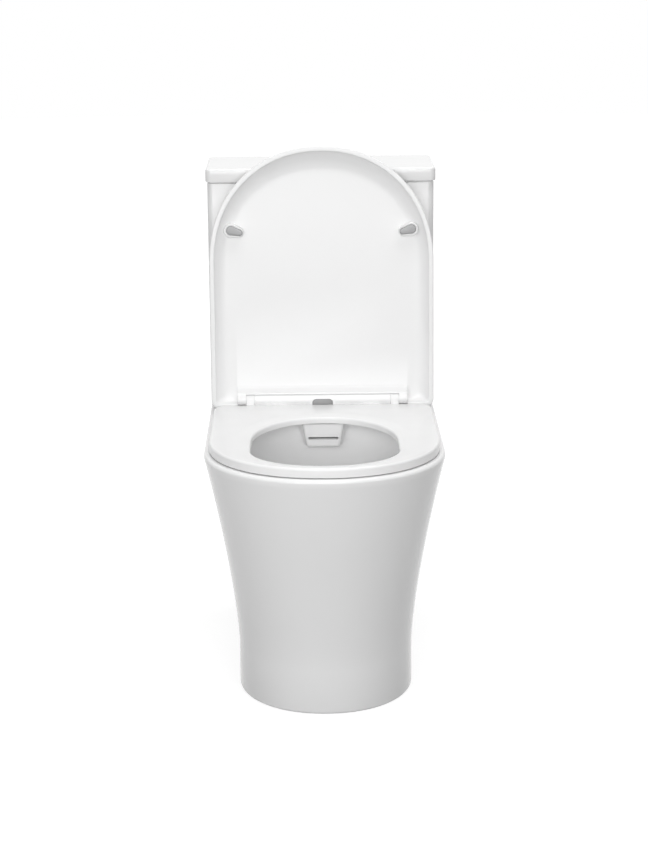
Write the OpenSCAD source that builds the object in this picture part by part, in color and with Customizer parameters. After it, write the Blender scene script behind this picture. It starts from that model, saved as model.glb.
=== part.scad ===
// Close-coupled rimless toilet: china pan and cistern, soft-close seat, dual-flush fittings
// Millimetres. X to the right, Y to the wall, Z up. Origin on the floor, below the middle of the object.

/* [Overall] */
// Depth from the front of the rim to the wall
overall_d = 650; // [630:1:690]

/* [Pan] */
// Width over the rim
rim_w = 374; // [356:1:384]
// Height of the rim above the floor
rim_z = 406; // [390:1:430]
// Share of the pan in front of the seat hinge that the rounded front of the rim takes
rim_arc_share = 0.43; // [0.38:0.01:0.47]
// Radius of the outer edge of the rim
rim_r = 9; // [5:0.5:10]
// How far each side of the base stands in from the side of the rim
base_inset = 48; // [42:0.5:55]
// Depth of the rounded front of the base as a share of that of the rim
base_arc_share = 0.88; // [0.82:0.01:0.95]
// How far the base stands back from the front of the rim, as a share of the way to the seat hinge
base_setback_share = 0.24; // [0.19:0.01:0.26]
// Height of the upright plinth
plinth_h = 70; // [50:1:90]
// Thickness of the china walls
china_t = 11; // [9:0.5:12]
// Thickness of the deck that carries the cistern and the seat
deck_t = 15; // [13:0.5:16]
// Distance from the outside of the rim to the bowl opening
rim_border = 32; // [30:0.5:36]
// Depth of the upright bowl wall down to the shelf
shelf_depth = 45; // [38:1:55]
// Height of the bottom of the sump above the floor
sump_z = 88; // [80:1:96]
// Height of the centre of the outlet above the floor
outlet_z = 180; // [175:1:190]
// Outer diameter of the outlet spigot
outlet_d = 102; // [98:1:106]

/* [Cistern] */
// How far each side of the cistern stands in from the side of the rim
cistern_inset = 0.5; // [0:0.5:16]
// Depth of the cistern
cistern_d = 166; // [156:1:172]
// Height of the cistern without its lid
cistern_h = 373; // [360:1:400]
// Radius of the upright corners of the cistern
cistern_r = 10; // [6:1:16]
// Thickness of the walls of the cistern
cistern_t = 9; // [8:0.5:9.5]
// Thickness of the floor of the cistern
cistern_floor_t = 12; // [10:0.5:14]
// Thickness of the rest pads between cistern and deck
pad_t = 4; // [3:0.5:6]
// Overhang of the lid at each side of the cistern
lid_side = 2.5; // [2:0.5:6]
// Overhang of the lid in front of the cistern
lid_front = 8; // [4:0.5:12]
// Thickness of the lid
lid_t = 22; // [20:0.5:24]

/* [Seat and cover] */
// How far each side of the seat ring stands in from the side of the rim
seat_inset = 8; // [6:0.5:12]
// Distance from the front of the rim back to the front of the seat ring
seat_back = 6; // [2:0.5:12]
// Thickness of the seat ring
seat_t = 13; // [12:0.5:16]
// Border of the seat ring at each side of its opening
seat_side_border = 65; // [59:0.5:74]
// Border of the seat ring in front of its opening
seat_front_border = 28.5; // [27:0.5:60]
// Border of the seat ring behind its opening
seat_rear_border = 80; // [76:0.5:100]
// Height of the buffers under the seat ring
buffer_t = 3; // [2:0.5:5]
// How far each side of the cover stands in from the side of the rim
cover_inset = 3.5; // [2:0.5:5]
// Thickness of the cover
cover_t = 20; // [18:0.5:22]
// Depth of the recess on the inside of the cover
cover_recess = 12; // [8:0.5:13]
// Angle between the closed and the open cover
cover_open = 94; // [92:0.5:95]

/* [Hinge] */
// Distance of the hinge axis in front of the cistern
hinge_from_cistern = 58; // [50:1:64]
// Height of the hinge axis above the top of the seat ring
hinge_rise = 8; // [8:0.5:8.5]
// How far each fixing hole in the deck stands in from the side of the rim
fixing_inset = 109.5; // [104.5:0.5:112]
// Length of the hinge barrel beyond each of its two feet
barrel_overhang = 17.5; // [14:0.5:18.5]
// Radius of the hinge barrel
barrel_r = 8.2; // [7.8:0.1:8.2]

/* [Flush and water] */
// Outer diameter of the drain spigot under the cistern
drain_d = 62; // [58:1:63]
// Distance between the two close-coupling bolts
bolt_span = 160; // [150:1:170]
// Diameter of the button opening in the lid
button_hole_d = 48; // [44:1:50]
// Travel of the flush buttons
button_travel = 6; // [4:0.5:6]
// Lift of the flush valve
valve_lift = 18; // [12:1:18]
// Distance of the water inlet from the side of the cistern
inlet_from_side = 71.5; // [68.5:0.5:76]
// Outer diameter of the half-inch inlet thread
inlet_d = 20.96; // [20.9:0.01:21]

/* [Floor fixing] */
// Distance of the fixing brackets in front of the wall
bracket_from_wall = 175; // [150:1:200]
// Diameter of the floor screw holes in the brackets
floor_hole_d = 9; // [7:0.5:10]

/* [Hidden] */

$fn = 48;
// Overrun of a cut past the face it opens
cut = 2;
// Clearance between pieces that move past each other
gap = 0.3;
// Running clearance of a pin in its bore
run_gap = 0.05;
// Clearance of a fitting in its hole
fit_gap = 0.5;

front_y = -overall_d / 2;
wall_y = overall_d / 2;
hinge_y = wall_y - cistern_d - hinge_from_cistern;
reach = hinge_y - front_y;
rim_arc = reach * rim_arc_share;
base_w = rim_w - 2 * base_inset;
base_arc = rim_arc * base_arc_share;
base_setback = reach * base_setback_share;
cistern_w = rim_w - 2 * cistern_inset;
lid_w = cistern_w + 2 * lid_side;
seat_w = rim_w - 2 * seat_inset;
cover_w = rim_w - 2 * cover_inset;
fixing_span = rim_w - 2 * fixing_inset;
foot_hw = 17;
barrel_l = fixing_span + 2 * (foot_hw + barrel_overhang);

// Colours
china = [0.93, 0.94, 0.95];
plastic_white = [0.95, 0.95, 0.95];
soft_grey = [0.58, 0.59, 0.60];
steel = [0.72, 0.73, 0.75];
rubber = [0.16, 0.16, 0.17];
chrome = [0.80, 0.82, 0.84];
brass = [0.78, 0.64, 0.35];

// Rings and lofts

// Points along the front arc, and the exponent of its superellipse
tip_steps = 14;
tip_power = 2.1;
// Points on each stretch of the sides and back
side_steps = 3;

function lerp(a, b, t) = a + (b - a) * t;

function tip_pts(hw, yf, arc) = [for (i = [0 : tip_steps - 1]) let (t = 90 * i / tip_steps)
    [hw * pow(sin(t), 2 / tip_power), yf + arc * (1 - pow(cos(t), 2 / tip_power))]];

// A half outline and its mirror image make one closed ring
function closed_ring(half) = let (last = len(half) - 1)
    concat(half, [for (i = [last - 1 : -1 : 1]) [-half[i].x, half[i].y]]);

// Ring with a round front, straight sides and a square back. ys is where the bowl turns in
function d_ring(hw, yf, arc, ys, yr, rc) = closed_ring(concat(
    tip_pts(hw, yf, arc),
    [for (i = [0 : side_steps - 1]) [hw, lerp(yf + arc, ys, i / side_steps)]],
    [for (i = [0 : side_steps - 1]) [hw, lerp(ys, yr - rc, i / side_steps)]],
    [for (i = [0 : side_steps - 1]) let (t = 90 * i / side_steps)
        [hw - rc * (1 - cos(t)), yr - rc * (1 - sin(t))]],
    [for (i = [0 : side_steps]) [lerp(hw - rc, 0, i / side_steps), yr]]));

// Share of the half width that the rear corner of an oval takes
oval_corner_share = 0.78;
egg_corner_share = 0.97;

// Ring with a round front and a rounded back
function oval_ring(hw, yf, arc, yr, rc, share = oval_corner_share) = let (rx = hw * share) closed_ring(concat(
    tip_pts(hw, yf, arc),
    [for (i = [0 : side_steps - 1]) [hw, lerp(yf + arc, yr - rc, i / side_steps)]],
    [for (i = [0 : 2 * side_steps - 1]) let (t = 45 * i / side_steps)
        [hw - rx * (1 - cos(t)), yr - rc * (1 - sin(t))]],
    [for (i = [0 : side_steps]) [lerp(hw - rx, 0, i / side_steps), yr]]));

function at_z(ring, z) = [for (p = ring) [p.x, p.y, z]];

// Skin over a list of rings. A closed loft is a loop of rings, an open one has a cap at each end
module loft(rings, loop = false) {
    n = len(rings[0]);
    m = len(rings);
    spans = loop ? m : m - 1;
    sides = [for (j = [0 : spans - 1]) for (i = [0 : n - 1])
        let (a = j * n + i, b = j * n + (i + 1) % n,
             d = ((j + 1) % m) * n + i, c = ((j + 1) % m) * n + (i + 1) % n)
        each [[a, b, c], [a, c, d]]];
    caps = loop ? [] : [[for (i = [n - 1 : -1 : 0]) i], [for (i = [0 : n - 1]) (m - 1) * n + i]];
    polyhedron(points = [for (r = rings) each r], faces = concat(sides, caps), convexity = 8);
}

// Round tube along points that lie in one plane or on a helix
module sweep(path, dirs, r, sides) {
    rings = [for (k = [0 : len(path) - 1])
        let (d = dirs[k] / norm(dirs[k]), u = cross(d, [1, 0, 0]), v = cross(d, u / norm(u)))
        [for (i = [0 : sides - 1]) let (t = 360 * i / sides)
            path[k] + r * (cos(t) * u / norm(u) - sin(t) * v)]];
    loft(rings);
}

module rounded_plate(w, d, h, r) {
    linear_extrude(h) offset(r = r) square([w - 2 * r, d - 2 * r], center = true);
}

module ring(ro, ri, z0, z1) {
    translate([0, 0, z0]) difference() {
        cylinder(r = ro, h = z1 - z0);
        translate([0, 0, -cut]) cylinder(r = ri, h = z1 - z0 + 2 * cut);
    }
}

module post(r, z0, z1) {
    translate([0, 0, z0]) cylinder(r = r, h = z1 - z0);
}

module x_rod(r, x0, x1) {
    translate([x0, 0, 0]) rotate([0, 90, 0]) cylinder(r = r, h = x1 - x0);
}

module box_between(low, high) {
    translate(low) cube(high - low);
}

module both_sides() {
    children();
    mirror([1, 0, 0]) children();
}

// Pan

rear_corner_r = 12;
// Power of the curve that draws the skirt in towards the plinth
skirt_power = 1.4;
foot_r = 3;
rim_side_z = rim_z - rim_r;
deck_under_z = rim_z - deck_t;

function skirt_share(z) = pow(max(0, (z - plinth_h) / (rim_side_z - plinth_h)), skirt_power);

// The bowl opening. The sides of the outer rings turn where its rear corner begins
bowl_to_hinge = 49;
bowl_corner_share = 0.29;
bowl_front_y = front_y + rim_border;
bowl_rear_y = hinge_y - bowl_to_hinge;
bowl_l = bowl_rear_y - bowl_front_y;
bowl_corner = bowl_l * bowl_corner_share;
turn_y = bowl_rear_y - bowl_corner;

function skirt_ring(z, inset) = let (g = skirt_share(z))
    d_ring(lerp(base_w, rim_w, g) / 2 - inset,
           front_y + base_setback * (1 - g) + inset,
           lerp(base_arc, rim_arc, g) - inset,
           turn_y, wall_y - inset, max(rear_corner_r - inset, foot_r));

// Bowl: opening at the rim, shelf below the upright wall, sump at the bottom
lip_r = 7;
bowl_hw = rim_w / 2 - rim_border;
bowl_wide_y = front_y + rim_arc;
wall_draft = 4;
shelf_z = rim_z - shelf_depth;
shelf_step = 4;
sump_hw = 52;
sump_front_share = 0.67;
sump_wide_share = 0.81;
sump_corner_share = 0.133;
sump_front_y = bowl_front_y + bowl_l * sump_front_share;
sump_wide_y = bowl_front_y + bowl_l * sump_wide_share;
sump_rear_y = bowl_rear_y - wall_draft - shelf_step;
sump_corner = bowl_l * sump_corner_share;
bowl_steps = 8;

// share 0 is the bowl just below its upright wall, share 1 is the sump. grow moves the ring outwards
function bowl_ring(share, grow) = let (
        hw = lerp(bowl_hw - wall_draft - shelf_step, sump_hw, share),
        yf = lerp(bowl_front_y + wall_draft + shelf_step, sump_front_y, share),
        ym = lerp(bowl_wide_y, sump_wide_y, share),
        yr = lerp(bowl_rear_y - wall_draft - shelf_step, sump_rear_y, share),
        rc = lerp(bowl_corner - wall_draft - shelf_step, sump_corner, share))
    oval_ring(hw + grow, yf - grow, ym - yf + grow, yr + grow, rc + grow);

function wall_ring(grow) =
    oval_ring(bowl_hw + grow, bowl_front_y - grow, bowl_wide_y - bowl_front_y + grow,
              bowl_rear_y + grow, bowl_corner + grow);

// The straight sump ends at the water level, where the trap spills over its weir
trap_r = 36;
weir_rise = 70;
weir_z = outlet_z + weir_rise;
sump_top_z = weir_z - trap_r;

function funnel_z(s) = lerp(shelf_z, sump_top_z, s);
function funnel_share(s) = sin(90 * s);

sump_r = 26;
arc_steps = 3;
skirt_shares = [0.95, 0.87, 0.76, 0.62, 0.46, 0.30, 0.16, 0.06, 0];
inner_shares = [0, 0.12, 0.3, 0.5, 0.7, 0.86, 0.96];

module pan_shell() {
    sump = [for (i = [0 : arc_steps]) let (t = 90 * i / arc_steps)
        at_z(bowl_ring(1, -sump_r * (1 - sin(t))), sump_z + sump_r * (1 - cos(t)))];
    funnel = [for (i = [bowl_steps : -1 : 0]) let (s = i / bowl_steps)
        at_z(bowl_ring(funnel_share(s), 0), funnel_z(s))];
    bowl_wall = [at_z(wall_ring(-wall_draft), shelf_z + shelf_step)];
    lip = [for (i = [0 : arc_steps]) let (t = 90 * i / arc_steps)
        at_z(wall_ring(lip_r * (1 - cos(t))), rim_z - lip_r * (1 - sin(t)))];
    rim = [for (i = [arc_steps : -1 : 0]) let (t = 90 * i / arc_steps)
        at_z(skirt_ring(rim_side_z, rim_r * (1 - cos(t))), rim_side_z + rim_r * sin(t))];
    skirt = [for (s = skirt_shares) let (z = lerp(plinth_h, rim_side_z, s)) at_z(skirt_ring(z, 0), z)];
    foot = [at_z(skirt_ring(0, 0), foot_r), at_z(skirt_ring(0, foot_r), 0), at_z(skirt_ring(0, china_t), 0)];
    inside = [for (s = inner_shares) let (z = lerp(plinth_h, deck_under_z - rim_r, s))
        at_z(skirt_ring(z, china_t), z)];
    deck = [at_z(skirt_ring(rim_side_z, china_t + foot_r), deck_under_z),
            at_z(wall_ring(china_t + foot_r), deck_under_z)];
    bowl_back = [at_z(wall_ring(china_t - wall_draft), shelf_z)];
    underside = [for (i = [1 : bowl_steps]) let (s = i / bowl_steps)
        at_z(bowl_ring(funnel_share(s), china_t), funnel_z(s) - china_t * (1 - s))];
    bottom = [for (i = [arc_steps : -1 : 0]) let (t = 90 * i / arc_steps)
        at_z(bowl_ring(1, china_t - sump_r * (1 - sin(t))), sump_z - china_t + sump_r * (1 - cos(t)))];
    loft(concat(sump, funnel, bowl_wall, lip, rim, skirt, foot, inside, deck, bowl_back,
                underside, bottom));
}

// Flush duct from the drain opening to the slot at the back of the bowl
duct_w = 68;
duct_foot_w = 56;
duct_t = 8;
duct_reach = 27;
duct_h = 40;
duct_roof_t = 18;
duct_front_y = bowl_rear_y - duct_reach;
duct_under_z = rim_z - duct_h;
duct_floor_z = duct_under_z + duct_t;
duct_roof_z = rim_z - duct_roof_t;
duct_top_gap = 1;
drain_y = wall_y - cistern_d / 2;
drain_seat_depth = 12;
drain_seat_z = rim_z - drain_seat_depth;
drain_seat_r = 50;
drain_hole_r = 36;
drain_boss_r = drain_seat_r + duct_t;
slot_w = 50;
slot_h = 4.5;
slot_depth = 25;
slot_z = rim_z - slot_depth;

module duct_outside() {
    top_z = rim_z - duct_top_gap;
    translate([0, drain_y, 0]) rotate([90, 0, 0]) linear_extrude(height = drain_y - duct_front_y)
        polygon([[-duct_foot_w / 2, duct_under_z], [duct_foot_w / 2, duct_under_z],
                 [duct_w / 2, top_z], [-duct_w / 2, top_z]]);
    translate([0, drain_y, 0]) post(drain_boss_r, duct_under_z, deck_under_z + foot_r);
}

module duct_inside() {
    hw = slot_w / 2;
    box_between([-hw, duct_front_y + duct_t, duct_floor_z], [hw, drain_y, duct_roof_z]);
    translate([0, drain_y, 0]) {
        post(drain_hole_r, duct_floor_z, rim_z + cut);
        post(drain_seat_r, drain_seat_z, rim_z + cut);
    }
    box_between([-slot_w / 2, duct_front_y - cut, slot_z - slot_h / 2],
                [slot_w / 2, duct_front_y + duct_t + cut, slot_z + slot_h / 2]);
}

// Trap: level out of the sump, up over the weir and down to the outlet
trap_t = 8;
trap_bend_r = 48;
trap_start_y = sump_rear_y + china_t;
trap_in_z = sump_z + trap_r;
up_angle = 75;
down_angle = 55;
trap_sides = 16;
bend_steps = 4;
spigot_from_wall = 15;
spigot_y = wall_y - spigot_from_wall;
spigot_l = 50;
spigot_bore_r = 43;

up_drop = trap_bend_r * (1 - cos(up_angle));
down_drop = trap_bend_r * (1 - cos(down_angle));
rise_l = (weir_z - trap_in_z - 2 * up_drop) / sin(up_angle);
fall_l = (weir_z - outlet_z - 2 * down_drop) / sin(down_angle);

function yz(a) = [0, cos(a), sin(a)];
// Points of a bend that starts at p with direction a0 and turns to a1
function bend_angles(a0, a1) = [for (i = [0 : bend_steps]) lerp(a0, a1, i / bend_steps)];
function bend_at(p, a0, a) = let (s = sign(a - a0))
    p + trap_bend_r * [0, s * (sin(a) - sin(a0)), -s * (cos(a) - cos(a0))];

bend1_start = [0, trap_start_y, trap_in_z];
bend1_end = bend_at(bend1_start, 0, up_angle);
bend2_start = bend1_end + rise_l * yz(up_angle);
bend2_end = bend_at(bend2_start, up_angle, -down_angle);
bend3_start = bend2_end + fall_l * yz(-down_angle);
bend3_end = bend_at(bend3_start, -down_angle, 0);

module trap_tube(r, start_y, end_y) {
    angles = concat([0], bend_angles(0, up_angle), bend_angles(up_angle, -down_angle),
                    bend_angles(-down_angle, 0), [0]);
    path = concat([[0, start_y, trap_in_z]],
                  [for (a = bend_angles(0, up_angle)) bend_at(bend1_start, 0, a)],
                  [for (a = bend_angles(up_angle, -down_angle)) bend_at(bend2_start, up_angle, a)],
                  [for (a = bend_angles(-down_angle, 0)) bend_at(bend3_start, -down_angle, a)],
                  [[0, end_y, outlet_z]]);
    sweep(path, [for (a = angles) yz(a)], r, trap_sides);
}

// Opening in the back of the skirt for the drain and the water pipe
back_opening_w = 200;
back_bar_h = 76;
back_opening_h = rim_z - back_bar_h;

// Fixings
fixing_hole_r = 7.5;
bolt_hole_r = 7;
inlet_from_wall = 43;
inlet_x = cistern_w / 2 - inlet_from_side;
inlet_y = wall_y - inlet_from_wall;
inlet_notch_r = 24;
bracket_y = wall_y - bracket_from_wall;
skirt_screw_z = 25;
skirt_hole_r = 4.5;

module pan_holes() {
    both_sides() {
        translate([fixing_span / 2, hinge_y, 0]) post(fixing_hole_r, deck_under_z - cut, rim_z + cut);
        translate([bolt_span / 2, drain_y, 0]) post(bolt_hole_r, deck_under_z - cut, rim_z + cut);
        translate([0, bracket_y, skirt_screw_z])
            x_rod(skirt_hole_r, base_w / 2 - china_t - cut, base_w / 2 + cut);
    }
    translate([-inlet_x, inlet_y, 0]) post(inlet_notch_r, deck_under_z - cut, rim_z + cut);
    translate([0, wall_y, 0]) rotate([90, 0, 0]) translate([0, 0, -cut])
        linear_extrude(china_t + 2 * cut) translate([0, (back_opening_h - rear_corner_r) / 2 - cut])
            offset(r = rear_corner_r)
                square([back_opening_w - 2 * rear_corner_r, back_opening_h - rear_corner_r], center = true);
}

module pan() {
    color(china) difference() {
        union() {
            pan_shell();
            duct_outside();
            trap_tube(trap_r + trap_t, trap_start_y - trap_t / 2, spigot_y - spigot_l / 2);
            translate([0, spigot_y, outlet_z]) rotate([90, 0, 0]) cylinder(d = outlet_d, h = spigot_l);
        }
        duct_inside();
        trap_tube(trap_r, sump_rear_y - trap_r / 2, spigot_y - spigot_l / 2);
        translate([0, spigot_y + cut, outlet_z]) rotate([90, 0, 0])
            cylinder(r = spigot_bore_r, h = spigot_l - trap_t + cut);
        pan_holes();
    }
}

// Cistern

cistern_z = rim_z + pad_t;
cistern_top_z = cistern_z + cistern_h;
cistern_front_y = wall_y - cistern_d;
cistern_mid_y = wall_y - cistern_d / 2;
tank_floor_z = cistern_z + cistern_floor_t;
tank_hole_r = drain_d / 2 + fit_gap;
tank_bolt_r = 6;
tank_inlet_r = inlet_d / 2 + fit_gap;

rebate_h = 2.5;
rebate_w = 3.5;

module cistern() {
    color(china) difference() {
        union() {
            translate([0, cistern_mid_y, cistern_z])
                rounded_plate(cistern_w, cistern_d, cistern_h - rebate_h, cistern_r);
            translate([0, cistern_mid_y, cistern_z])
                rounded_plate(cistern_w - 2 * rebate_w, cistern_d - 2 * rebate_w, cistern_h,
                              cistern_r - rebate_w);
        }
        translate([0, cistern_mid_y, tank_floor_z])
            rounded_plate(cistern_w - 2 * cistern_t, cistern_d - 2 * cistern_t, cistern_h, cistern_r);
        translate([0, drain_y, 0]) post(tank_hole_r, cistern_z - cut, tank_floor_z + cut);
        both_sides() translate([bolt_span / 2, drain_y, 0])
            post(tank_bolt_r, cistern_z - cut, tank_floor_z + cut);
        translate([-inlet_x, inlet_y, 0]) post(tank_inlet_r, cistern_z - cut, tank_floor_z + cut);
    }
}

// Lid: plate with rounded edges, hollow below, with a lip that drops into the cistern
lid_edge_r = 4;
lid_plate_t = 12;
lid_lip_h = 6;
lid_lip_w = 6;
lid_lip_gap = 1.5;
lid_z = cistern_top_z;
lid_top_z = lid_z + lid_t;
lid_under_z = lid_top_z - lid_plate_t;
lid_d = cistern_d + lid_front;
lid_mid_y = wall_y - lid_d / 2;
lip_w = cistern_w - 2 * (cistern_t + lid_lip_gap);
lip_d = cistern_d - 2 * (cistern_t + lid_lip_gap);

// Ring of a plate with rounded corners
corner_steps = 4;
function plate_ring(w, d, r) = [for (q = [0 : 3]) for (i = [0 : corner_steps])
    let (t = 90 * (q - 1 + i / corner_steps),
         sx = (q == 0 || q == 1) ? 1 : -1, sy = (q == 1 || q == 2) ? 1 : -1)
    [sx * (w / 2 - r) + r * cos(t), sy * (d / 2 - r) + r * sin(t)]];

function lid_ring(inset, z) = at_z(plate_ring(lid_w - 2 * inset, lid_d - 2 * inset, cistern_r - inset), z);

module cistern_lid() {
    color(china) difference() {
        union() {
            translate([0, lid_mid_y, 0])
                loft(concat([for (t = [90 : -30 : 0])
                                lid_ring(lid_edge_r * (1 - cos(t)), lid_top_z - lid_edge_r * (1 - sin(t)))],
                            [lid_ring(0, lid_z + lid_edge_r / 4), lid_ring(lid_edge_r / 4, lid_z)]));
            translate([0, cistern_mid_y, lid_z - lid_lip_h])
                rounded_plate(lip_w, lip_d, lid_lip_h + lid_edge_r, cistern_r - lid_edge_r);
        }
        translate([0, cistern_mid_y, lid_z - lid_lip_h - cut])
            rounded_plate(lip_w - 2 * lid_lip_w, lip_d - 2 * lid_lip_w,
                          lid_under_z - lid_z + lid_lip_h + cut, cistern_r - lid_edge_r);
        translate([0, drain_y, 0]) post(button_hole_d / 2, lid_under_z - cut, lid_top_z + cut);
    }
}

// Seat ring

seat_z = rim_z + buffer_t;
seat_top_z = seat_z + seat_t;
seat_front_y = front_y + seat_back;
hinge_z = seat_top_z + hinge_rise;
barrel_gap = 1.3;
seat_rear_y = hinge_y - barrel_r - barrel_gap;
seat_arc_share = 0.45;
seat_arc = (seat_rear_y - seat_front_y) * seat_arc_share;
seat_corner_r = 24;
seat_hole_w = seat_w - 2 * seat_side_border;
seat_hole_front_y = seat_front_y + seat_front_border;
seat_hole_rear_y = seat_rear_y - seat_rear_border;
seat_hole_l = seat_hole_rear_y - seat_hole_front_y;
seat_hole_arc_share = 0.325;
seat_hole_arc = seat_hole_l * seat_hole_arc_share;
seat_hole_corner_share = 0.4735;
seat_hole_corner = seat_hole_l * seat_hole_corner_share;
seat_edge_r = 4;
seat_drop = 2;

function seat_out(inset) =
    d_ring(seat_w / 2 - inset, seat_front_y + inset, seat_arc - inset,
           seat_hole_rear_y - seat_hole_corner, seat_rear_y - inset, seat_corner_r - inset);

function seat_in(grow) =
    oval_ring(seat_hole_w / 2 + grow, seat_hole_front_y - grow, seat_hole_arc + grow,
              seat_hole_rear_y + grow, seat_hole_corner + grow, egg_corner_share);

// Lugs that carry the seat on the hinge, either side of the barrel
lug_w = 13.4;
lug_x0 = barrel_l / 2 + gap;
lug_x1 = lug_x0 + lug_w;
lug_drop = 7.4;
lug_top_z = hinge_z - lug_drop;
lug_under_z = seat_z + seat_edge_r;
lug_reach = 14;
spindle_r = 3;
spindle_bore_r = spindle_r + run_gap;

module seat_ring() {
    inner_r = seat_edge_r;
    color(plastic_white) difference() {
        loft([at_z(seat_in(seat_edge_r / 3), seat_z),
              at_z(seat_in(0), seat_z + seat_edge_r / 2),
              at_z(seat_in(0), seat_top_z - seat_drop - inner_r),
              at_z(seat_in(inner_r * (1 - cos(45))), seat_top_z - seat_drop - inner_r * (1 - sin(45))),
              at_z(seat_in(inner_r), seat_top_z - seat_drop),
              at_z(seat_in(3 * inner_r), seat_top_z - seat_drop / 4),
              at_z(seat_in(5 * inner_r), seat_top_z),
              at_z(seat_out(seat_edge_r), seat_top_z),
              at_z(seat_out(seat_edge_r * (1 - cos(60))), seat_top_z - seat_edge_r * (1 - sin(60))),
              at_z(seat_out(seat_edge_r * (1 - cos(30))), seat_top_z - seat_edge_r * (1 - sin(30))),
              at_z(seat_out(0), seat_top_z - seat_edge_r),
              at_z(seat_out(0), seat_z + seat_edge_r / 2),
              at_z(seat_out(seat_edge_r / 3), seat_z)], loop = true);
        both_sides() box_between([lug_x0, seat_rear_y - lug_reach, lug_under_z],
                                 [lug_x1, seat_rear_y + cut, seat_top_z + cut]);
    }
}

module seat_lugs() {
    color(plastic_white) both_sides() difference() {
        union() {
            translate([0, hinge_y, hinge_z]) x_rod(barrel_r, lug_x0, lug_x1);
            box_between([lug_x0, seat_rear_y - lug_reach, lug_under_z],
                        [lug_x1, hinge_y + barrel_r / 2, lug_top_z]);
        }
        translate([0, hinge_y, hinge_z]) x_rod(spindle_bore_r, lug_x0 - cut, lug_x1 + cut);
    }
}

// Buffers under the seat, on the flat of the rim
buffer_inset = 18;
buffer_behind = 24;
buffer_to_hinge = 48;
buffer_x = rim_w / 2 - buffer_inset;
buffer_ys = [bowl_wide_y + buffer_behind, hinge_y - buffer_to_hinge];
buffer_w = 11;
buffer_l = 30;

module seat_buffers() {
    color(soft_grey) both_sides() for (y = buffer_ys)
        translate([buffer_x, y, rim_z]) rounded_plate(buffer_w, buffer_l, buffer_t, buffer_w / 2 - gap);
}

// Cover, drawn closed with the hinge axis at the origin, then turned open

cover_lip_z = -6;
cover_top_z = cover_lip_z + cover_t;
cover_front_back = 5;
cover_reach = hinge_y - seat_front_y - cover_front_back;
cover_tail = 15;
cover_arc_share = 0.455;
cover_arc = cover_reach * cover_arc_share;
cover_corner_r = 14;
cover_lip_w = 7;
cover_fillet_w = 9;
crown = 1.4;
ear_gap = 0.4;
ridge_gap = 0.8;
ear_x0 = lug_x1 + ear_gap;
ear_w = 14;
ear_x1 = ear_x0 + ear_w;
notch_u = barrel_r + ridge_gap;
ridge_w = 6;
ridge_u = notch_u + ridge_w;

function cover_out(inset) =
    d_ring(cover_w / 2 - inset, -cover_reach + inset, cover_arc - inset, -cover_arc / 2,
           cover_tail - inset, max(cover_corner_r - inset, foot_r));

// The whole moulding, with its lip and the shallow recess inside it
module cover_moulding() {
    e = seat_edge_r;
    floor_z = cover_lip_z + cover_recess;
    loft([at_z(cover_out(22 * e), cover_top_z),
          at_z(cover_out(11 * e), cover_top_z - crown / 3),
          at_z(cover_out(3 * e), cover_top_z - crown),
          at_z(cover_out(e), cover_top_z - 2 * crown),
          at_z(cover_out(e / 4), cover_top_z - e - crown),
          at_z(cover_out(0), cover_top_z - 2 * e - crown),
          at_z(cover_out(0), cover_lip_z + e),
          at_z(cover_out(e / 4), cover_lip_z + e / 3),
          at_z(cover_out(e / 2), cover_lip_z),
          at_z(cover_out(cover_lip_w - e / 2), cover_lip_z),
          at_z(cover_out(cover_lip_w), cover_lip_z + e / 3),
          for (t = [15 : 15 : 75]) at_z(cover_out(cover_lip_w + cover_fillet_w * (1 - cos(t))),
                                        cover_lip_z + e / 3 + (cover_recess - e / 3) * sin(t)),
          at_z(cover_out(cover_lip_w + cover_fillet_w), floor_z)]);
}

// The cover in front of the hinge, with the ridge that carries the ears
module cover_closed() {
    difference() {
        union() {
            cover_moulding();
            box_between([-ear_x1, -ridge_u, cover_lip_z + gap],
                        [ear_x1, -notch_u, cover_lip_z + cover_recess + seat_edge_r]);
        }
        box_between([-cover_w, -notch_u, cover_lip_z - cut],
                    [cover_w, cover_tail + cut, cover_top_z + cut]);
    }
}

// The two heels of the cover, which reach back beside the hinge
module heels_closed() {
    intersection() {
        cover_moulding();
        both_sides() box_between([ear_x1 + gap, -notch_u, cover_lip_z - cut],
                                 [cover_w, cover_tail + cut, cover_top_z + cut]);
    }
}

// Ears of the cover, outside the lugs of the seat, fixed to the ridge
module ears_closed() {
    both_sides() difference() {
        union() {
            x_rod(barrel_r, ear_x0, ear_x1);
            box_between([ear_x0, -notch_u, cover_lip_z + gap],
                        [ear_x1, barrel_r, cover_lip_z + cover_recess + seat_edge_r]);
        }
        x_rod(spindle_bore_r, ear_x0 - cut, ear_x1 - cut + gap);
    }
}

module on_open_cover() {
    translate([0, hinge_y, hinge_z]) rotate([-cover_open, 0, 0]) children();
}

module seat_cover() {
    color(plastic_white) on_open_cover() cover_closed();
}

module cover_heels() {
    color(plastic_white) on_open_cover() heels_closed();
}

module cover_ears() {
    color(plastic_white) on_open_cover() ears_closed();
}

// Tear-drop buffers on the inside of the cover
cup_inset = 37;
cup_u_share = 0.677;
cup_x = cover_w / 2 - cup_inset;
cup_u = cover_reach * cup_u_share;
cup_tilt = -15;
cup_r = 12;
cup_tail_r = 8;
cup_l = 13;
cup_wall = 3.7;
cup_h = 10.5;
pad_show = 3;

module tear_drop(r, tail_r, l, h) {
    hull() {
        cylinder(r = r, h = h);
        translate([-l, 0, 0]) cylinder(r = tail_r, h = h);
    }
}

module at_cups() {
    on_open_cover() both_sides() translate([cup_x, -cup_u, cover_lip_z + cover_recess])
        rotate([180, 0, cup_tilt]) children();
}

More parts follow.
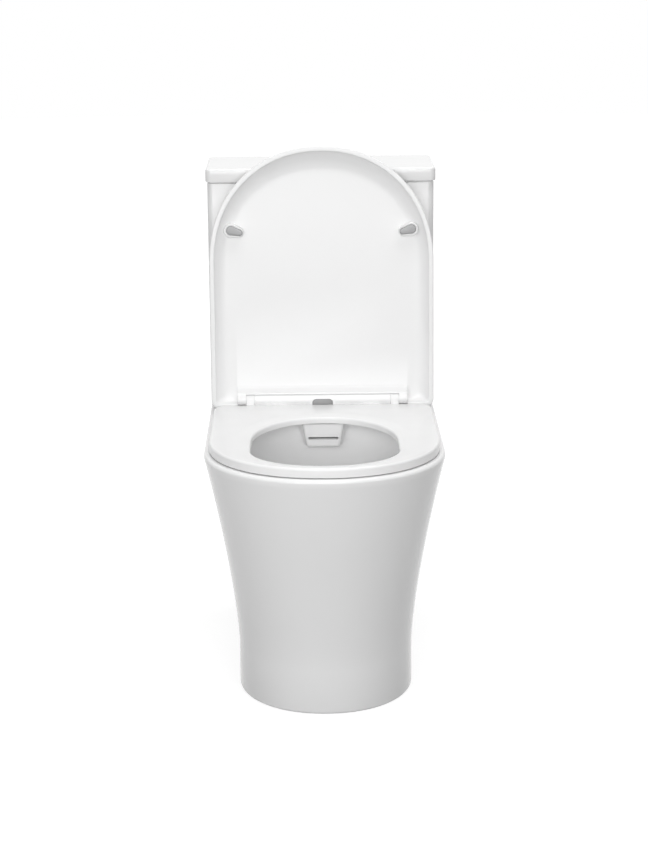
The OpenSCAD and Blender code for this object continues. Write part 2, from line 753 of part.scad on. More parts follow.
module cover_buffer_cups() {
    color(plastic_white) at_cups() difference() {
        tear_drop(cup_r, cup_tail_r, cup_l, cup_h);
        translate([0, 0, cup_h - pad_show])
            tear_drop(cup_r - cup_wall, cup_tail_r - cup_wall, cup_l, cup_h);
    }
}

pad_top = cover_recess + hinge_rise + cover_lip_z - gap;

module cover_buffer_pads() {
    color(soft_grey) at_cups() translate([0, 0, cup_h - pad_show])
        tear_drop(cup_r - cup_wall, cup_tail_r - cup_wall, cup_l, pad_top - cup_h + pad_show);
}

// Hinge: barrel with two feet and a housing for the release button

foot_d = 24;
foot_top = 6;
flange_r = 11;
flange_t = 2.5;
post_r = 5;
stud_r = 4;
damper_r = 6;
damper_end = 4;
housing_hw = 21;
housing_d = 16;
housing_over = 2.2;
// Apron that closes the gap under the barrel
apron_d = 12;
apron_top = 5;
apron_bottom = 13;
// Release button in the front of the housing, pressed towards the wall
button_hw = 16.8;
button_top = 1;
button_bottom = -14;
release_d = 6;
release_travel = 3;
pocket_d = release_d + release_travel + gap;
housing_top = button_top + housing_over;

module at_hinge() {
    translate([0, hinge_y, hinge_z]) children();
}

module hinge_body() {
    foot_z = rim_z - hinge_z;
    color(plastic_white) at_hinge() difference() {
        union() {
            x_rod(barrel_r, -barrel_l / 2, barrel_l / 2);
            box_between([gap - barrel_l / 2, -apron_d / 2, -apron_bottom],
                        [barrel_l / 2 - gap, apron_d / 2, -apron_top]);
            both_sides() box_between([fixing_span / 2 - foot_hw, -barrel_r + gap, foot_z],
                                     [fixing_span / 2 + foot_hw, foot_d - barrel_r, -foot_top]);
            box_between([-housing_hw, -housing_d / 2, foot_z], [housing_hw, housing_d / 2, housing_top]);
        }
        both_sides() {
            x_rod(damper_r + run_gap, housing_hw + damper_end, barrel_l / 2 + cut);
            translate([fixing_span / 2, 0, 0]) {
                post(flange_r + gap, foot_z - cut, foot_z + flange_t);
                post(post_r + run_gap, foot_z, -foot_top - gap);
            }
        }
        translate([0, pocket_d - housing_d / 2, 0]) button_outline(pocket_d + cut, gap);
    }
}

module damper() {
    x0 = housing_hw + damper_end;
    x_rod(damper_r, x0, barrel_l / 2);
    x_rod(spindle_r, x0, ear_x1 - cut);
}

module seat_damper() {
    color(soft_grey) at_hinge() mirror([1, 0, 0]) damper();
}

module cover_damper() {
    color(soft_grey) at_hinge() damper();
}

// Outline of the button with rounded top corners, drawn from y = 0 towards the front
release_corner_r = 4;

module button_outline(depth, grow) {
    rotate([90, 0, 0]) linear_extrude(depth) hull() {
        translate([-button_hw - grow, button_bottom - grow]) square([2 * (button_hw + grow), release_corner_r]);
        for (s = [-1, 1])
            translate([s * (button_hw - release_corner_r), button_top - release_corner_r])
                circle(r = release_corner_r + grow);
    }
}

module release_button() {
    color(soft_grey) at_hinge() translate([0, release_d - housing_d / 2, 0]) button_outline(release_d, 0);
}

// Coil spring
spring_sides = 6;
turn_steps = 10;

module coil(r, wire_r, h, turns) {
    total = turns * turn_steps;
    path = [for (i = [0 : total]) let (t = 360 * i / turn_steps)
        [r * cos(t), r * sin(t), wire_r + (h - 2 * wire_r) * i / total]];
    rise = (h - 2 * wire_r) / (turns * 2 * PI * r);
    rings = [for (i = [0 : total]) let (t = 360 * i / turn_steps)
        [for (k = [0 : spring_sides - 1]) let (a = 360 * k / spring_sides)
            path[i] + wire_r * [cos(a) * cos(t) + rise * sin(a) * sin(t),
                                cos(a) * sin(t) - rise * sin(a) * cos(t), sin(a)]]];
    loft(rings);
}

// Posts, studs and expanding plugs in the deck
stud_up = 9;
stud_down = 48;
plug_l = 34;
stud_nut_l = 7;

module at_fixings() {
    both_sides() translate([fixing_span / 2, hinge_y, rim_z]) children();
}

module hinge_posts() {
    color(steel) at_fixings() difference() {
        union() {
            post(flange_r, 0, flange_t);
            post(post_r, 0, hinge_z - foot_top - rim_z - 2 * gap);
        }
        post(stud_r, -cut, stud_up);
    }
}

module hinge_studs() {
    color(brass) at_fixings() {
        post(stud_r, -stud_down, stud_up);
        post(fixing_hole_r - gap, -stud_down, -stud_down + stud_nut_l);
    }
}

module hinge_plugs() {
    color(rubber) at_fixings()
        ring(fixing_hole_r - gap, stud_r, -stud_down + stud_nut_l, -stud_down + stud_nut_l + plug_l);
}

// Cistern on the deck

rest_inset = 41.5;
rest_x = cistern_w / 2 - rest_inset;
rest_w = 24;
rest_l = 110;

module cistern_pads() {
    color(rubber) both_sides() translate([rest_x, cistern_mid_y, rim_z])
        rounded_plate(rest_w, rest_l, pad_t, pad_t);
}

nut_h = 12;
nut_r = 39;
nut_gap = 1;

module tank_gasket() {
    color(rubber) translate([0, drain_y, 0]) difference() {
        post(drain_seat_r - gap, drain_seat_z, cistern_z);
        post(drain_hole_r, drain_seat_z - cut, cistern_z + cut);
        post(nut_r + nut_gap, cistern_z - nut_h - gap, cistern_z + cut);
    }
}

bolt_r = 4;
bolt_head_r = 8;
bolt_head_h = 5.5;
bolt_washer_r = 14;
bolt_washer_t = 3;
wing_h = 9;
wing_hub_r = 8;
wing_reach = 14;
wing_t = 3;
bolt_tail = 20;

module at_bolts() {
    both_sides() translate([bolt_span / 2, drain_y, 0]) children();
}

module cistern_bolts() {
    head_z = tank_floor_z + bolt_washer_t;
    color(brass) at_bolts() {
        post(bolt_r, deck_under_z - bolt_tail, head_z);
        translate([0, 0, head_z]) cylinder(r = bolt_head_r, h = bolt_head_h, $fn = 6);
    }
}

module bolt_washers() {
    color(rubber) at_bolts() ring(bolt_washer_r, bolt_r, tank_floor_z, tank_floor_z + bolt_washer_t);
}

module wing_nuts() {
    color(brass) at_bolts() difference() {
        union() {
            post(wing_hub_r, deck_under_z - wing_h, deck_under_z);
            box_between([-wing_t / 2, -wing_reach, deck_under_z - wing_h],
                        [wing_t / 2, wing_reach, deck_under_z - wing_t]);
        }
        post(bolt_r, deck_under_z - wing_h - cut, deck_under_z + cut);
    }
}

// Flush valve

drain_wall = 5;
drain_tail = 24;
base_flange_r = 41;
base_washer_t = 2;
base_flange_t = 5;
lip_h = 2;
lip_out_r = 30;
base_z = tank_floor_z + base_washer_t;
base_top_z = base_z + base_flange_t;
drain_bore_r = drain_d / 2 - drain_wall;

module at_drain() {
    translate([0, drain_y, 0]) children();
}

module flush_valve_base() {
    color(plastic_white) at_drain() difference() {
        union() {
            post(drain_d / 2, cistern_z - drain_tail, base_z + base_flange_t);
            post(base_flange_r, base_z, base_top_z);
            post(lip_out_r, base_top_z, base_top_z + lip_h);
        }
        post(drain_bore_r, cistern_z - drain_tail - cut, base_top_z + lip_h + cut);
    }
}

module flush_valve_washer() {
    color(rubber) at_drain() ring(base_flange_r, drain_d / 2, tank_floor_z, base_z);
}

module flush_valve_nut() {
    color(plastic_white) at_drain() difference() {
        translate([0, 0, cistern_z - nut_h]) cylinder(r = nut_r, h = nut_h, $fn = 8);
        post(drain_d / 2, cistern_z - nut_h - cut, cistern_z + cut);
    }
}

tower_below_lid = 83;
tower_top_z = lid_z - tower_below_lid;
head_h = 38;
head_z = tower_top_z - head_h;
leg_t = 5;
leg_w = 9;
canister_r = 13;
canister_wall = 2;
bell_r = 32;
bell_h = 36;
seal_t = 3;
seal_z = base_top_z + lip_h + gap;
canister_z = seal_z + seal_t;
canister_below_head = 9;
canister_top_z = head_z - canister_below_head;
canister_gap = 1.5;
seat_ring_w = 2;
rod_r = 2.5;
rod_gap = 1;
rod_seat = 4;
socket_depth = 12;
full_x = 8;
half_x = -12.5;

module flush_tower() {
    color([0.75, 0.80, 0.88]) at_drain() difference() {
        union() {
            ring(base_flange_r, lip_out_r + seat_ring_w, base_top_z, base_top_z + leg_t);
            for (a = [45 : 90 : 315]) rotate([0, 0, a])
                box_between([base_flange_r - leg_t, -leg_w / 2, base_top_z],
                            [base_flange_r - gap, leg_w / 2, head_z + leg_t]);
            post(base_flange_r, head_z, tower_top_z);
        }
        post(canister_r + canister_gap, head_z - cut, head_z + valve_lift + gap);
        for (x = [full_x, half_x]) translate([x, 0, 0])
            post(rod_r + rod_gap, tower_top_z - socket_depth, tower_top_z + cut);
    }
}

module flush_canister() {
    color([0.88, 0.30, 0.25]) at_drain() difference() {
        union() {
            post(canister_r, canister_z, canister_top_z);
            translate([0, 0, canister_z + leg_t]) cylinder(r1 = bell_r, r2 = canister_r, h = bell_h);
            post(bell_r, canister_z, canister_z + leg_t);
        }
        post(canister_r - canister_wall, canister_z - cut, canister_top_z + cut);
    }
}

module flush_seal() {
    color(rubber) at_drain() ring(bell_r, canister_r + leg_t, seal_z, canister_z);
}

// Push buttons in the lid

bezel_r = 31;
bezel_h = 3;
tube_r = button_hole_d / 2 - fit_gap;
tube_wall = 2.1;
tube_in_r = tube_r - tube_wall;
tube_l = 38;
tube_z = lid_top_z - tube_l;
web_t = 3;
web_z = tube_z + web_t;
push_recess = 0.5;
push_top_z = lid_top_z + bezel_h - push_recess;
push_t = 5;
push_r = tube_in_r - gap;
split_x = -5;
stem_r = 4.5;
stem_gap = 0.6;
stem_z = web_z + button_travel + stem_gap;
rod_top_z = push_top_z - push_t;
rod_z = tower_top_z - rod_seat;
button_nut_h = 7;
button_nut_r = 30;

module button_bezel() {
    color(chrome) at_drain() difference() {
        union() {
            post(bezel_r, lid_top_z, lid_top_z + bezel_h);
            post(tube_r, tube_z, lid_top_z + bezel_h);
        }
        post(tube_in_r, web_z, lid_top_z + bezel_h + cut);
        for (x = [full_x, half_x]) translate([x, 0, 0]) post(rod_r + rod_gap, tube_z - cut, web_z + cut);
    }
}

module button_nut() {
    color(plastic_white) at_drain() difference() {
        translate([0, 0, lid_under_z - button_nut_h]) cylinder(r = button_nut_r, h = button_nut_h, $fn = 8);
        post(tube_r, lid_under_z - button_nut_h - cut, lid_under_z + cut);
    }
}

// One press plate with its hollow stem. x0 and x1 are the plate's straight limits
module press_plate(x0, x1, stem_x) {
    at_drain() difference() {
        union() {
            intersection() {
                post(push_r, rod_top_z, push_top_z);
                box_between([x0, -push_r - cut, rod_top_z - cut], [x1, push_r + cut, push_top_z + cut]);
            }
            translate([stem_x, 0, 0]) post(stem_r, stem_z, rod_top_z + stem_gap);
        }
        translate([stem_x, 0, 0]) post(rod_r, stem_z - cut, rod_top_z);
    }
}

module full_flush_button() {
    color(chrome) press_plate(split_x + gap, push_r + cut, full_x);
}

module half_flush_button() {
    color(chrome) press_plate(-push_r - cut, split_x - gap, half_x);
}

module full_push_rod() {
    color(plastic_white) at_drain() translate([full_x, 0, 0]) post(rod_r, rod_z, rod_top_z);
}

module half_push_rod() {
    color(plastic_white) at_drain() translate([half_x, 0, 0]) post(rod_r, rod_z, rod_top_z);
}

button_spring_r = 6.2;
button_wire_r = 0.7;
button_turns = 6;

module button_spring(x) {
    color(steel) at_drain() translate([x, 0, web_z])
        coil(button_spring_r, button_wire_r, rod_top_z - web_z, button_turns);
}

module full_button_spring() {
    button_spring(full_x);
}

module half_button_spring() {
    button_spring(half_x);
}

// Fill valve

shank_tail = 38;
fill_flange_r = 16;
fill_washer_t = 2;
fill_flange_t = 4;
column_r = 9;
fill_below_lid = 93;
fill_top_z = lid_z - fill_below_lid;
fill_head_h = 48;
fill_head_r = 16;
float_r = 26;
float_h = 42;
float_lift = 10;
float_gap = 2;
float_z = fill_top_z - fill_head_h - float_lift - float_h - float_gap;
collar_r = 13;
collar_h = 4;
fill_bore_r = 6;
// Groove that parts the thread of the hose from the thread of the nut
groove_r = 9.6;
groove_h = 2;
groove_below = 10;

module at_inlet() {
    translate([-inlet_x, inlet_y, 0]) children();
}

module fill_valve_body() {
    flange_z = tank_floor_z + fill_washer_t;
    color(plastic_white) at_inlet() difference() {
        union() {
            post(inlet_d / 2, cistern_z - shank_tail, cistern_z - groove_below);
            post(groove_r, cistern_z - groove_below, cistern_z - groove_below + groove_h);
            post(inlet_d / 2, cistern_z - groove_below + groove_h, flange_z);
            post(fill_flange_r, flange_z, flange_z + fill_flange_t);
            post(column_r, flange_z, fill_top_z - fill_head_h);
            post(collar_r, float_z - gap - collar_h, float_z - gap);
        }
        post(fill_bore_r, cistern_z - shank_tail - cut, fill_top_z - fill_head_h + cut);
    }
}

module fill_valve_head() {
    color([0.30, 0.45, 0.70]) at_inlet() {
        post(fill_head_r, fill_top_z - fill_head_h, fill_top_z);
        box_between([0, -column_r / 2, fill_top_z - column_r], [float_r, column_r / 2, fill_top_z]);
    }
}

module fill_valve_float() {
    color([0.88, 0.89, 0.90]) at_inlet() ring(float_r, column_r + gap, float_z, float_z + float_h);
}

module inlet_washer() {
    color(rubber) at_inlet() ring(fill_flange_r, inlet_d / 2, tank_floor_z, tank_floor_z + fill_washer_t);
}

inlet_nut_r = 18;
inlet_nut_h = 8;

module inlet_nut() {
    color(plastic_white) at_inlet() difference() {
        translate([0, 0, cistern_z - inlet_nut_h]) cylinder(r = inlet_nut_r, h = inlet_nut_h, $fn = 6);
        post(inlet_d / 2, cistern_z - inlet_nut_h - cut, cistern_z + cut);
    }
}

// Floor fixing

bracket_w = 34;
bracket_l = 50;
bracket_h = 42;
bracket_t = 8;
bracket_x1 = base_w / 2 - china_t;
bracket_x0 = bracket_x1 - bracket_w;
floor_hole_x = bracket_x0 + bracket_w / 2 - bracket_t / 2;
side_screw_r = 2.5;
side_head_r = 6;
side_head_t = 2;
cap_r = 9;
cap_h = 4;
cap_wall = 1.2;

module at_brackets() {
    both_sides() translate([0, bracket_y, 0]) children();
}

module floor_brackets() {
    color(plastic_white) at_brackets() difference() {
        union() {
            box_between([bracket_x0, -bracket_l / 2, 0], [bracket_x1, bracket_l / 2, bracket_t]);
            box_between([bracket_x1 - bracket_t, -bracket_l / 2, 0], [bracket_x1, bracket_l / 2, bracket_h]);
            for (y = [-bracket_l / 2, bracket_l / 2 - bracket_t / 2])
                translate([bracket_x1 - bracket_t, y + bracket_t / 2, bracket_t]) rotate([90, 0, 0])
                    linear_extrude(bracket_t / 2) polygon([[0, 0], [0, bracket_h - 2 * bracket_t],
                                                           [bracket_t - bracket_w, 0]]);
        }
        translate([floor_hole_x, 0, 0]) post(floor_hole_d / 2, -cut, bracket_t + cut);
        translate([0, 0, skirt_screw_z]) x_rod(side_screw_r, bracket_x1 - bracket_t - cut, bracket_x1 + cut);
    }
}

module skirt_screws() {
    color(steel) at_brackets() translate([0, 0, skirt_screw_z]) {
        x_rod(side_screw_r, bracket_x1 - bracket_t, base_w / 2 + side_head_t);
        x_rod(side_head_r, base_w / 2, base_w / 2 + side_head_t);
    }
}

module screw_caps() {
    color(plastic_white) at_brackets() translate([0, 0, skirt_screw_z]) difference() {
        x_rod(cap_r, base_w / 2, base_w / 2 + cap_h);
        x_rod(side_head_r + gap, base_w / 2 - cut, base_w / 2 + cap_h - cap_wall);
    }
}

pan();
cistern();
cistern_lid();
seat_ring();
seat_lugs();
seat_buffers();
seat_cover();
cover_heels();
cover_ears();
cover_buffer_cups();
cover_buffer_pads();
hinge_body();
seat_damper();
cover_damper();
release_button();
hinge_posts();
hinge_studs();
hinge_plugs();
cistern_pads();
tank_gasket();
cistern_bolts();
bolt_washers();
wing_nuts();
flush_valve_base();
flush_valve_washer();
flush_valve_nut();
flush_tower();
flush_canister();
flush_seal();
button_bezel();
button_nut();
full_flush_button();
half_flush_button();
full_push_rod();
half_push_rod();
full_button_spring();
half_button_spring();
fill_valve_body();
fill_valve_head();
fill_valve_float();
inlet_washer();
inlet_nut();
floor_brackets();
skirt_screws();
screw_caps();
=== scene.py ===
import math

import bmesh
import bpy
import numpy as np
from mathutils import Matrix, Vector


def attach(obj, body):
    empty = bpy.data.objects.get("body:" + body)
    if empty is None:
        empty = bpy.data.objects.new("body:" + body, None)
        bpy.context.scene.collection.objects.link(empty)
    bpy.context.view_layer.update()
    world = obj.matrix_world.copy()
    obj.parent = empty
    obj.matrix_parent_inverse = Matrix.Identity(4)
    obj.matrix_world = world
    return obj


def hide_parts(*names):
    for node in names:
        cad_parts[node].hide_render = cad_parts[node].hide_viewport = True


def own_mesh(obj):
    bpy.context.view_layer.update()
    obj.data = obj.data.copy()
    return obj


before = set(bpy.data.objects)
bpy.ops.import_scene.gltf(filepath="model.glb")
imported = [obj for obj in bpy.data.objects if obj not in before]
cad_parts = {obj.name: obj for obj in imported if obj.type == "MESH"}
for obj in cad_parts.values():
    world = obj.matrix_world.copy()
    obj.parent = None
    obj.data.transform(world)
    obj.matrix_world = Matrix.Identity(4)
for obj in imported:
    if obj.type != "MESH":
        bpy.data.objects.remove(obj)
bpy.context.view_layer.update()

bl_info = {
    "name": "Rimless Toilet",
    "version": (1, 0, 0),
    "blender": (4, 5, 0),
    "location": "3D View > Sidebar > Toilet",
    "description": "Builds the china, the seat, the fittings and the studio of a rimless toilet",
    "category": "Add Mesh",
}

# The script works in millimetres and turns them into metres where a mesh is made.
MM = 0.001

# Sizes shared by more than one piece
RIM_Z = 406
FRONT_Y = -325
WALL_Y = 325
HINGE_Y = 101
HINGE_Z = 430
DRAIN_Y = 242
CISTERN_Z = 410
LID_Z = 783
LID_TOP = 805
LID_UNDER = 793
TANK_FLOOR = 422
INLET = (-115, 282)
BOLT_X = 80
FIXING_X = 77.5
BRACKET_Y = 150
COVER_ANGLE = 94
BARREL_R = 8.2
SPINDLE_R = 3
SHANK_R = 10.48
BOLT_R = 4
BOLT_CLEAR = 4.05
LUG_X = (112.12, 125.85)
EAR_X = (126.0, 140.1)
CUT = 2

# Points along half of a ring's round front, along each straight stretch and round each corner
FRONT_STEPS = 44
SIDE_STEPS = 6
CORNER_STEPS = 12
ROUND = 64


# ---------------------------------------------------------------- outlines


def lerp(a, b, t):
    return a + (b - a) * t


def closed_ring(half):
    """A half outline from the front to the back, and its mirror image."""
    return half + [(-x, y) for x, y in reversed(half[1:-1])]


def round_front(half_width, front, arc, power=2.1):
    """Points of a superellipse from the middle of the front to where the side runs straight."""
    points = []
    for i in range(FRONT_STEPS):
        t = math.radians(90 * i / FRONT_STEPS)
        x = half_width * math.sin(t) ** (2 / power)
        y = front + arc * (1 - math.cos(t) ** (2 / power))
        points.append((x, y))
    return points


def back_corner(half_width, rear, rx, ry):
    """Points of an elliptic corner from the side to the back, then to the middle of the back."""
    points = []
    for i in range(CORNER_STEPS):
        t = math.radians(90 * i / CORNER_STEPS)
        points.append((half_width - rx * (1 - math.cos(t)), rear - ry * (1 - math.sin(t))))
    for i in range(SIDE_STEPS + 1):
        points.append((lerp(half_width - rx, 0, i / SIDE_STEPS), rear))
    return points


def d_ring(half_width, front, arc, rear, corner):
    """A ring with a round front, straight sides and a square back."""
    side = [(half_width, lerp(front + arc, rear - corner, i / SIDE_STEPS)) for i in range(SIDE_STEPS)]
    return closed_ring(round_front(half_width, front, arc) + side
                       + back_corner(half_width, rear, corner, corner))


BOWL_CORNER_SHARE = 0.78
SEAT_CORNER_SHARE = 0.97


def oval_ring(half_width, front, arc, rear, corner, share=BOWL_CORNER_SHARE):
    """A ring with a round front and a rounded back."""
    side = [(half_width, lerp(front + arc, rear - corner, i / SIDE_STEPS)) for i in range(SIDE_STEPS)]
    return closed_ring(round_front(half_width, front, arc) + side
                       + back_corner(half_width, rear, half_width * share, corner))


def plate_ring(width, depth, radius, steps=10):
    """A rectangle with rounded corners, centred on the origin."""
    points = []
    for quarter, (sx, sy) in enumerate(((1, -1), (1, 1), (-1, 1), (-1, -1))):
        for i in range(steps + 1):
            t = math.radians(90 * (quarter - 1 + i / steps))
            points.append((sx * (width / 2 - radius) + radius * math.cos(t),
                           sy * (depth / 2 - radius) + radius * math.sin(t)))
    return points


def polygon(sides, radius, turn=0):
    """Corners of a regular polygon, or points of a circle, about the origin."""
    angles = [math.radians(turn) + 2 * math.pi * i / sides for i in range(sides)]
    return [(radius * math.cos(t), radius * math.sin(t)) for t in angles]


def at(ring, z, dx=0, dy=0):
    """An outline in X and Y at a height, moved sideways if asked."""
    return [(x + dx, y + dy, z) for x, y in ring]


def quarter_turn(steps):
    """Pairs (1 - cos, sin) over a quarter turn, for rounded edges."""
    angles = [math.radians(90 * i / steps) for i in range(steps + 1)]
    return [(1 - math.cos(t), math.sin(t)) for t in angles]


# ---------------------------------------------------------------- meshes


def loft(rings, closed=False, caps=True):
    """Quads between rings of equal length, with a face over each open end."""
    count = len(rings[0])
    spans = len(rings) if closed else len(rings) - 1
    verts = [point for ring in rings for point in ring]
    faces = []
    for j in range(spans):
        low = j * count
        high = ((j + 1) % len(rings)) * count
        for i in range(count):
            k = (i + 1) % count
            faces.append((low + i, low + k, high + k, high + i))
    if caps and not closed:
        faces.append(tuple(reversed(range(count))))
        faces.append(tuple(range(len(verts) - count, len(verts))))
    return verts, faces


def lathe(profile, sides=ROUND):
    """A profile of (radius, height) pairs turned about Z, closed on itself unless it ends on the axis."""
    on_axis = profile[0][0] == 0 and profile[-1][0] == 0
    rings = [at(polygon(sides, radius), height) for radius, height in profile]
    return loft(rings, closed=not on_axis, caps=False)


def rod(radius, low, high, sides=ROUND):
    """A plain round rod about Z, for a hole or a core."""
    return lathe([(0, low), (radius, low), (radius, high), (0, high)], sides)


def rounded_side(radius, low, high, edge, steps):
    """Profile of the side of a rod with rounded edges."""
    turn = quarter_turn(steps)
    foot = [(radius - edge * (1 - s), low + edge * c) for c, s in turn]
    return foot + [(radius - edge * c, high - edge * (1 - s)) for c, s in turn]


def rounded_rod(radius, low, high, edge=0.4, steps=3):
    """Profile of a rod with rounded edges."""
    return [(0, low)] + rounded_side(radius, low, high, edge, steps) + [(0, high)]


def rounded_ring(outer, inner, low, high, edge=0.5, steps=2):
    """Profile of a ring with rounded edges."""
    bore = reversed(rounded_side(inner, low, high, edge, steps))
    return rounded_side(outer, low, high, edge, steps) + [(2 * inner - r, z) for r, z in bore]


def thread(radius, low, high, pitch, depth, sides=28, steps=6):
    """A threaded rod about Z. The crest follows a helix."""
    rows = max(2, int((high - low) / pitch * steps))
    rings = []
    for j in range(rows + 1):
        z = lerp(low, high, j / rows)
        fade = min(1, (z - low) / pitch, (high - z) / pitch)
        ring = []
        for i in range(sides):
            turn = i / sides
            phase = (z / pitch - turn) % 1
            r = radius - depth * fade * abs(2 * phase - 1)
            ring.append((r * math.cos(2 * math.pi * turn), r * math.sin(2 * math.pi * turn), z))
        rings.append(ring)
    return loft(rings)


def prism(outline, low, high, edge=0.5, steps=2):
    """An outline drawn up from low to high, with its top and bottom edges eased."""
    centre = np.mean(np.array(outline), axis=0)
    reach = np.abs(np.array(outline) - centre).max()
    rings = []
    for offset, z in rounded_side(0, low, high, edge, steps):
        share = 1 + offset / reach
        rings.append([(lerp(centre[0], x, share), lerp(centre[1], y, share), z) for x, y in outline])
    return loft(rings)


def block(low, high):
    """A box between two corners, for a cutter or as the core of a bevelled piece."""
    (x0, y0, z0), (x1, y1, z1) = low, high
    return loft([[(x0, y0, z), (x1, y0, z), (x1, y1, z), (x0, y1, z)] for z in (z0, z1)])


def along_x(section, places):
    """A solid with one section in Y and Z, from the first to the last place along X."""
    return loft([[(x, y, z) for y, z in section] for x in places])


def along_y(section, places):
    """A solid with one section in X and Z, from the first to the last place along Y."""
    return loft([[(x, y, z) for x, z in section] for y in places])


def tube(path, radius, sides=16, up=(1, 0, 0)):
    """A round tube along points that lie in a plane square to up."""
    path = [Vector(p) for p in path]
    rings = []
    for k, point in enumerate(path):
        ahead = path[min(k + 1, len(path) - 1)]
        behind = path[max(k - 1, 0)]
        direction = (ahead - behind).normalized()
        u = Vector(up)
        v = direction.cross(u).normalized()
        rings.append([tuple(point + a * u + b * v) for a, b in polygon(sides, radius)])
    return loft(rings)


def coil(radius, wire, low, high, turns, sides=10, steps=28):
    """A compression spring about Z, wound at one even pitch from end to end."""
    count = int(turns * steps)
    rings = []
    for k in range(count + 1):
        share = k / count
        turn = 2 * math.pi * k / steps
        z = lerp(low + wire, high - wire, share)
        out = Vector((math.cos(turn), math.sin(turn), 0))
        rings.append([tuple(out * (radius + a) + Vector((0, 0, z + b))) for a, b in polygon(sides, wire)])
    return loft(rings)


def moved(shape, offset=(0, 0, 0), turn=None):
    """A shape turned by a matrix, then moved."""
    verts, faces = shape
    verts = [Vector(v) for v in verts]
    if turn is not None:
        verts = [turn @ v for v in verts]
    return [tuple(v + Vector(offset)) for v in verts], faces


def mirrored(shape):
    """A shape's mirror image on the other side of the object's middle."""
    verts, faces = shape
    return [(-x, y, z) for x, y, z in verts], [tuple(reversed(face)) for face in faces]


def both(shape):
    """A shape and its mirror image."""
    return joined(shape, mirrored(shape))


def joined(*shapes):
    """Several closed shapes as one list of corners and one of faces."""
    verts = []
    faces = []
    for shape_verts, shape_faces in shapes:
        start = len(verts)
        verts += list(shape_verts)
        faces += [tuple(start + i for i in face) for face in shape_faces]
    return verts, faces


def turned(degrees, axis):
    """A matrix that turns a shape about one axis through the origin."""
    return Matrix.Rotation(math.radians(degrees), 3, axis)


ALONG_X = turned(90, "Y")
TOWARDS_WALL = turned(-90, "X")
COVER_TURN = turned(-COVER_ANGLE, "X")

# Corners closer than this many metres are one corner.
SAME_PLACE = 1e-7


def build(name, shape):
    """A mesh object in metres from a shape in millimetres, with its faces turned outwards."""
    verts, faces = shape
    mesh = bpy.data.meshes.new(name)
    mesh.from_pydata([(x * MM, y * MM, z * MM) for x, y, z in verts], [], faces)
    obj = bpy.data.objects.new(name, mesh)
    bpy.context.scene.collection.objects.link(obj)
    clean(obj)
    return obj


def clean(obj):
    """Joins corners that meet, drops faces without an area and turns the rest outwards."""
    bm = bmesh.new()
    bm.from_mesh(obj.data)
    bmesh.ops.remove_doubles(bm, verts=bm.verts, dist=SAME_PLACE)
    bmesh.ops.dissolve_degenerate(bm, edges=bm.edges, dist=SAME_PLACE)
    bmesh.ops.recalc_face_normals(bm, faces=bm.faces)
    bm.to_mesh(obj.data)
    bm.free()


def settle(obj):
    """Turns an object's modifiers into its mesh."""
    bpy.context.view_layer.update()
    graph = bpy.context.evaluated_depsgraph_get()
    mesh = bpy.data.meshes.new_from_object(obj.evaluated_get(graph))
    old = obj.data
    obj.modifiers.clear()
    obj.data = mesh
    bpy.data.meshes.remove(old)
    mesh.name = obj.name


def combine(obj, shapes, operation):
    """Adds shapes to an object or cuts them out of it."""
    for shape in shapes:
        tool = build("tool", shape)
        modifier = obj.modifiers.new("combine", "BOOLEAN")
        modifier.operation = operation
        modifier.solver = "EXACT"
        modifier.object = tool
        settle(obj)
        bpy.data.objects.remove(tool, do_unlink=True)
    if not obj.data.polygons:
        raise RuntimeError("nothing is left of " + obj.name)


def bevel(obj, width, segments=3, angle=30):
    """Rounds the sharp edges of an object."""
    modifier = obj.modifiers.new("bevel", "BEVEL")
    modifier.width = width * MM
    modifier.segments = segments
    modifier.limit_method = "ANGLE"
    modifier.angle_limit = math.radians(angle)
    settle(obj)


def dress(obj, material, body, nodes, angle=35):
    """Shading, material, body and the CAD nodes that a finished piece stands for."""
    clean(obj)
    obj.data.shade_smooth()
    obj.data.set_sharp_from_angle(angle=math.radians(angle))
    obj.data.materials.clear()
    obj.data.materials.append(material)
    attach(obj, body)
    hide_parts(*nodes)


# ---------------------------------------------------------------- materials

# Sockets of the Mix node by number, because several of them share a name
MIX_A = 2
MIX_B = 3
MIX_OUT = 0
MIX_COLOUR_A = 6
MIX_COLOUR_B = 7
MIX_COLOUR_OUT = 2


def node_group(name, inputs, outputs):
    """An empty shader group with named sockets, and its input and output nodes."""
    tree = bpy.data.node_groups.new(name, "ShaderNodeTree")
    for label, kind, value in inputs:
        socket = tree.interface.new_socket(name=label, in_out="INPUT", socket_type=kind)
        if value is not None:
            socket.default_value = value
    for label, kind in outputs:
        tree.interface.new_socket(name=label, in_out="OUTPUT", socket_type=kind)
    return tree, tree.nodes.new("NodeGroupInput"), tree.nodes.new("NodeGroupOutput")


def noise_node(tree, detail, roughness=0.5):
    """A noise with its own detail and roughness."""
    node = tree.nodes.new("ShaderNodeTexNoise")
    node.inputs["Detail"].default_value = detail
    node.inputs["Roughness"].default_value = roughness
    return node


def math_node(tree, operation, value=None):
    """A Math node, with its second value set if one is given."""
    node = tree.nodes.new("ShaderNodeMath")
    node.operation = operation
    if value is not None:
        node.inputs[1].default_value = value
    return node


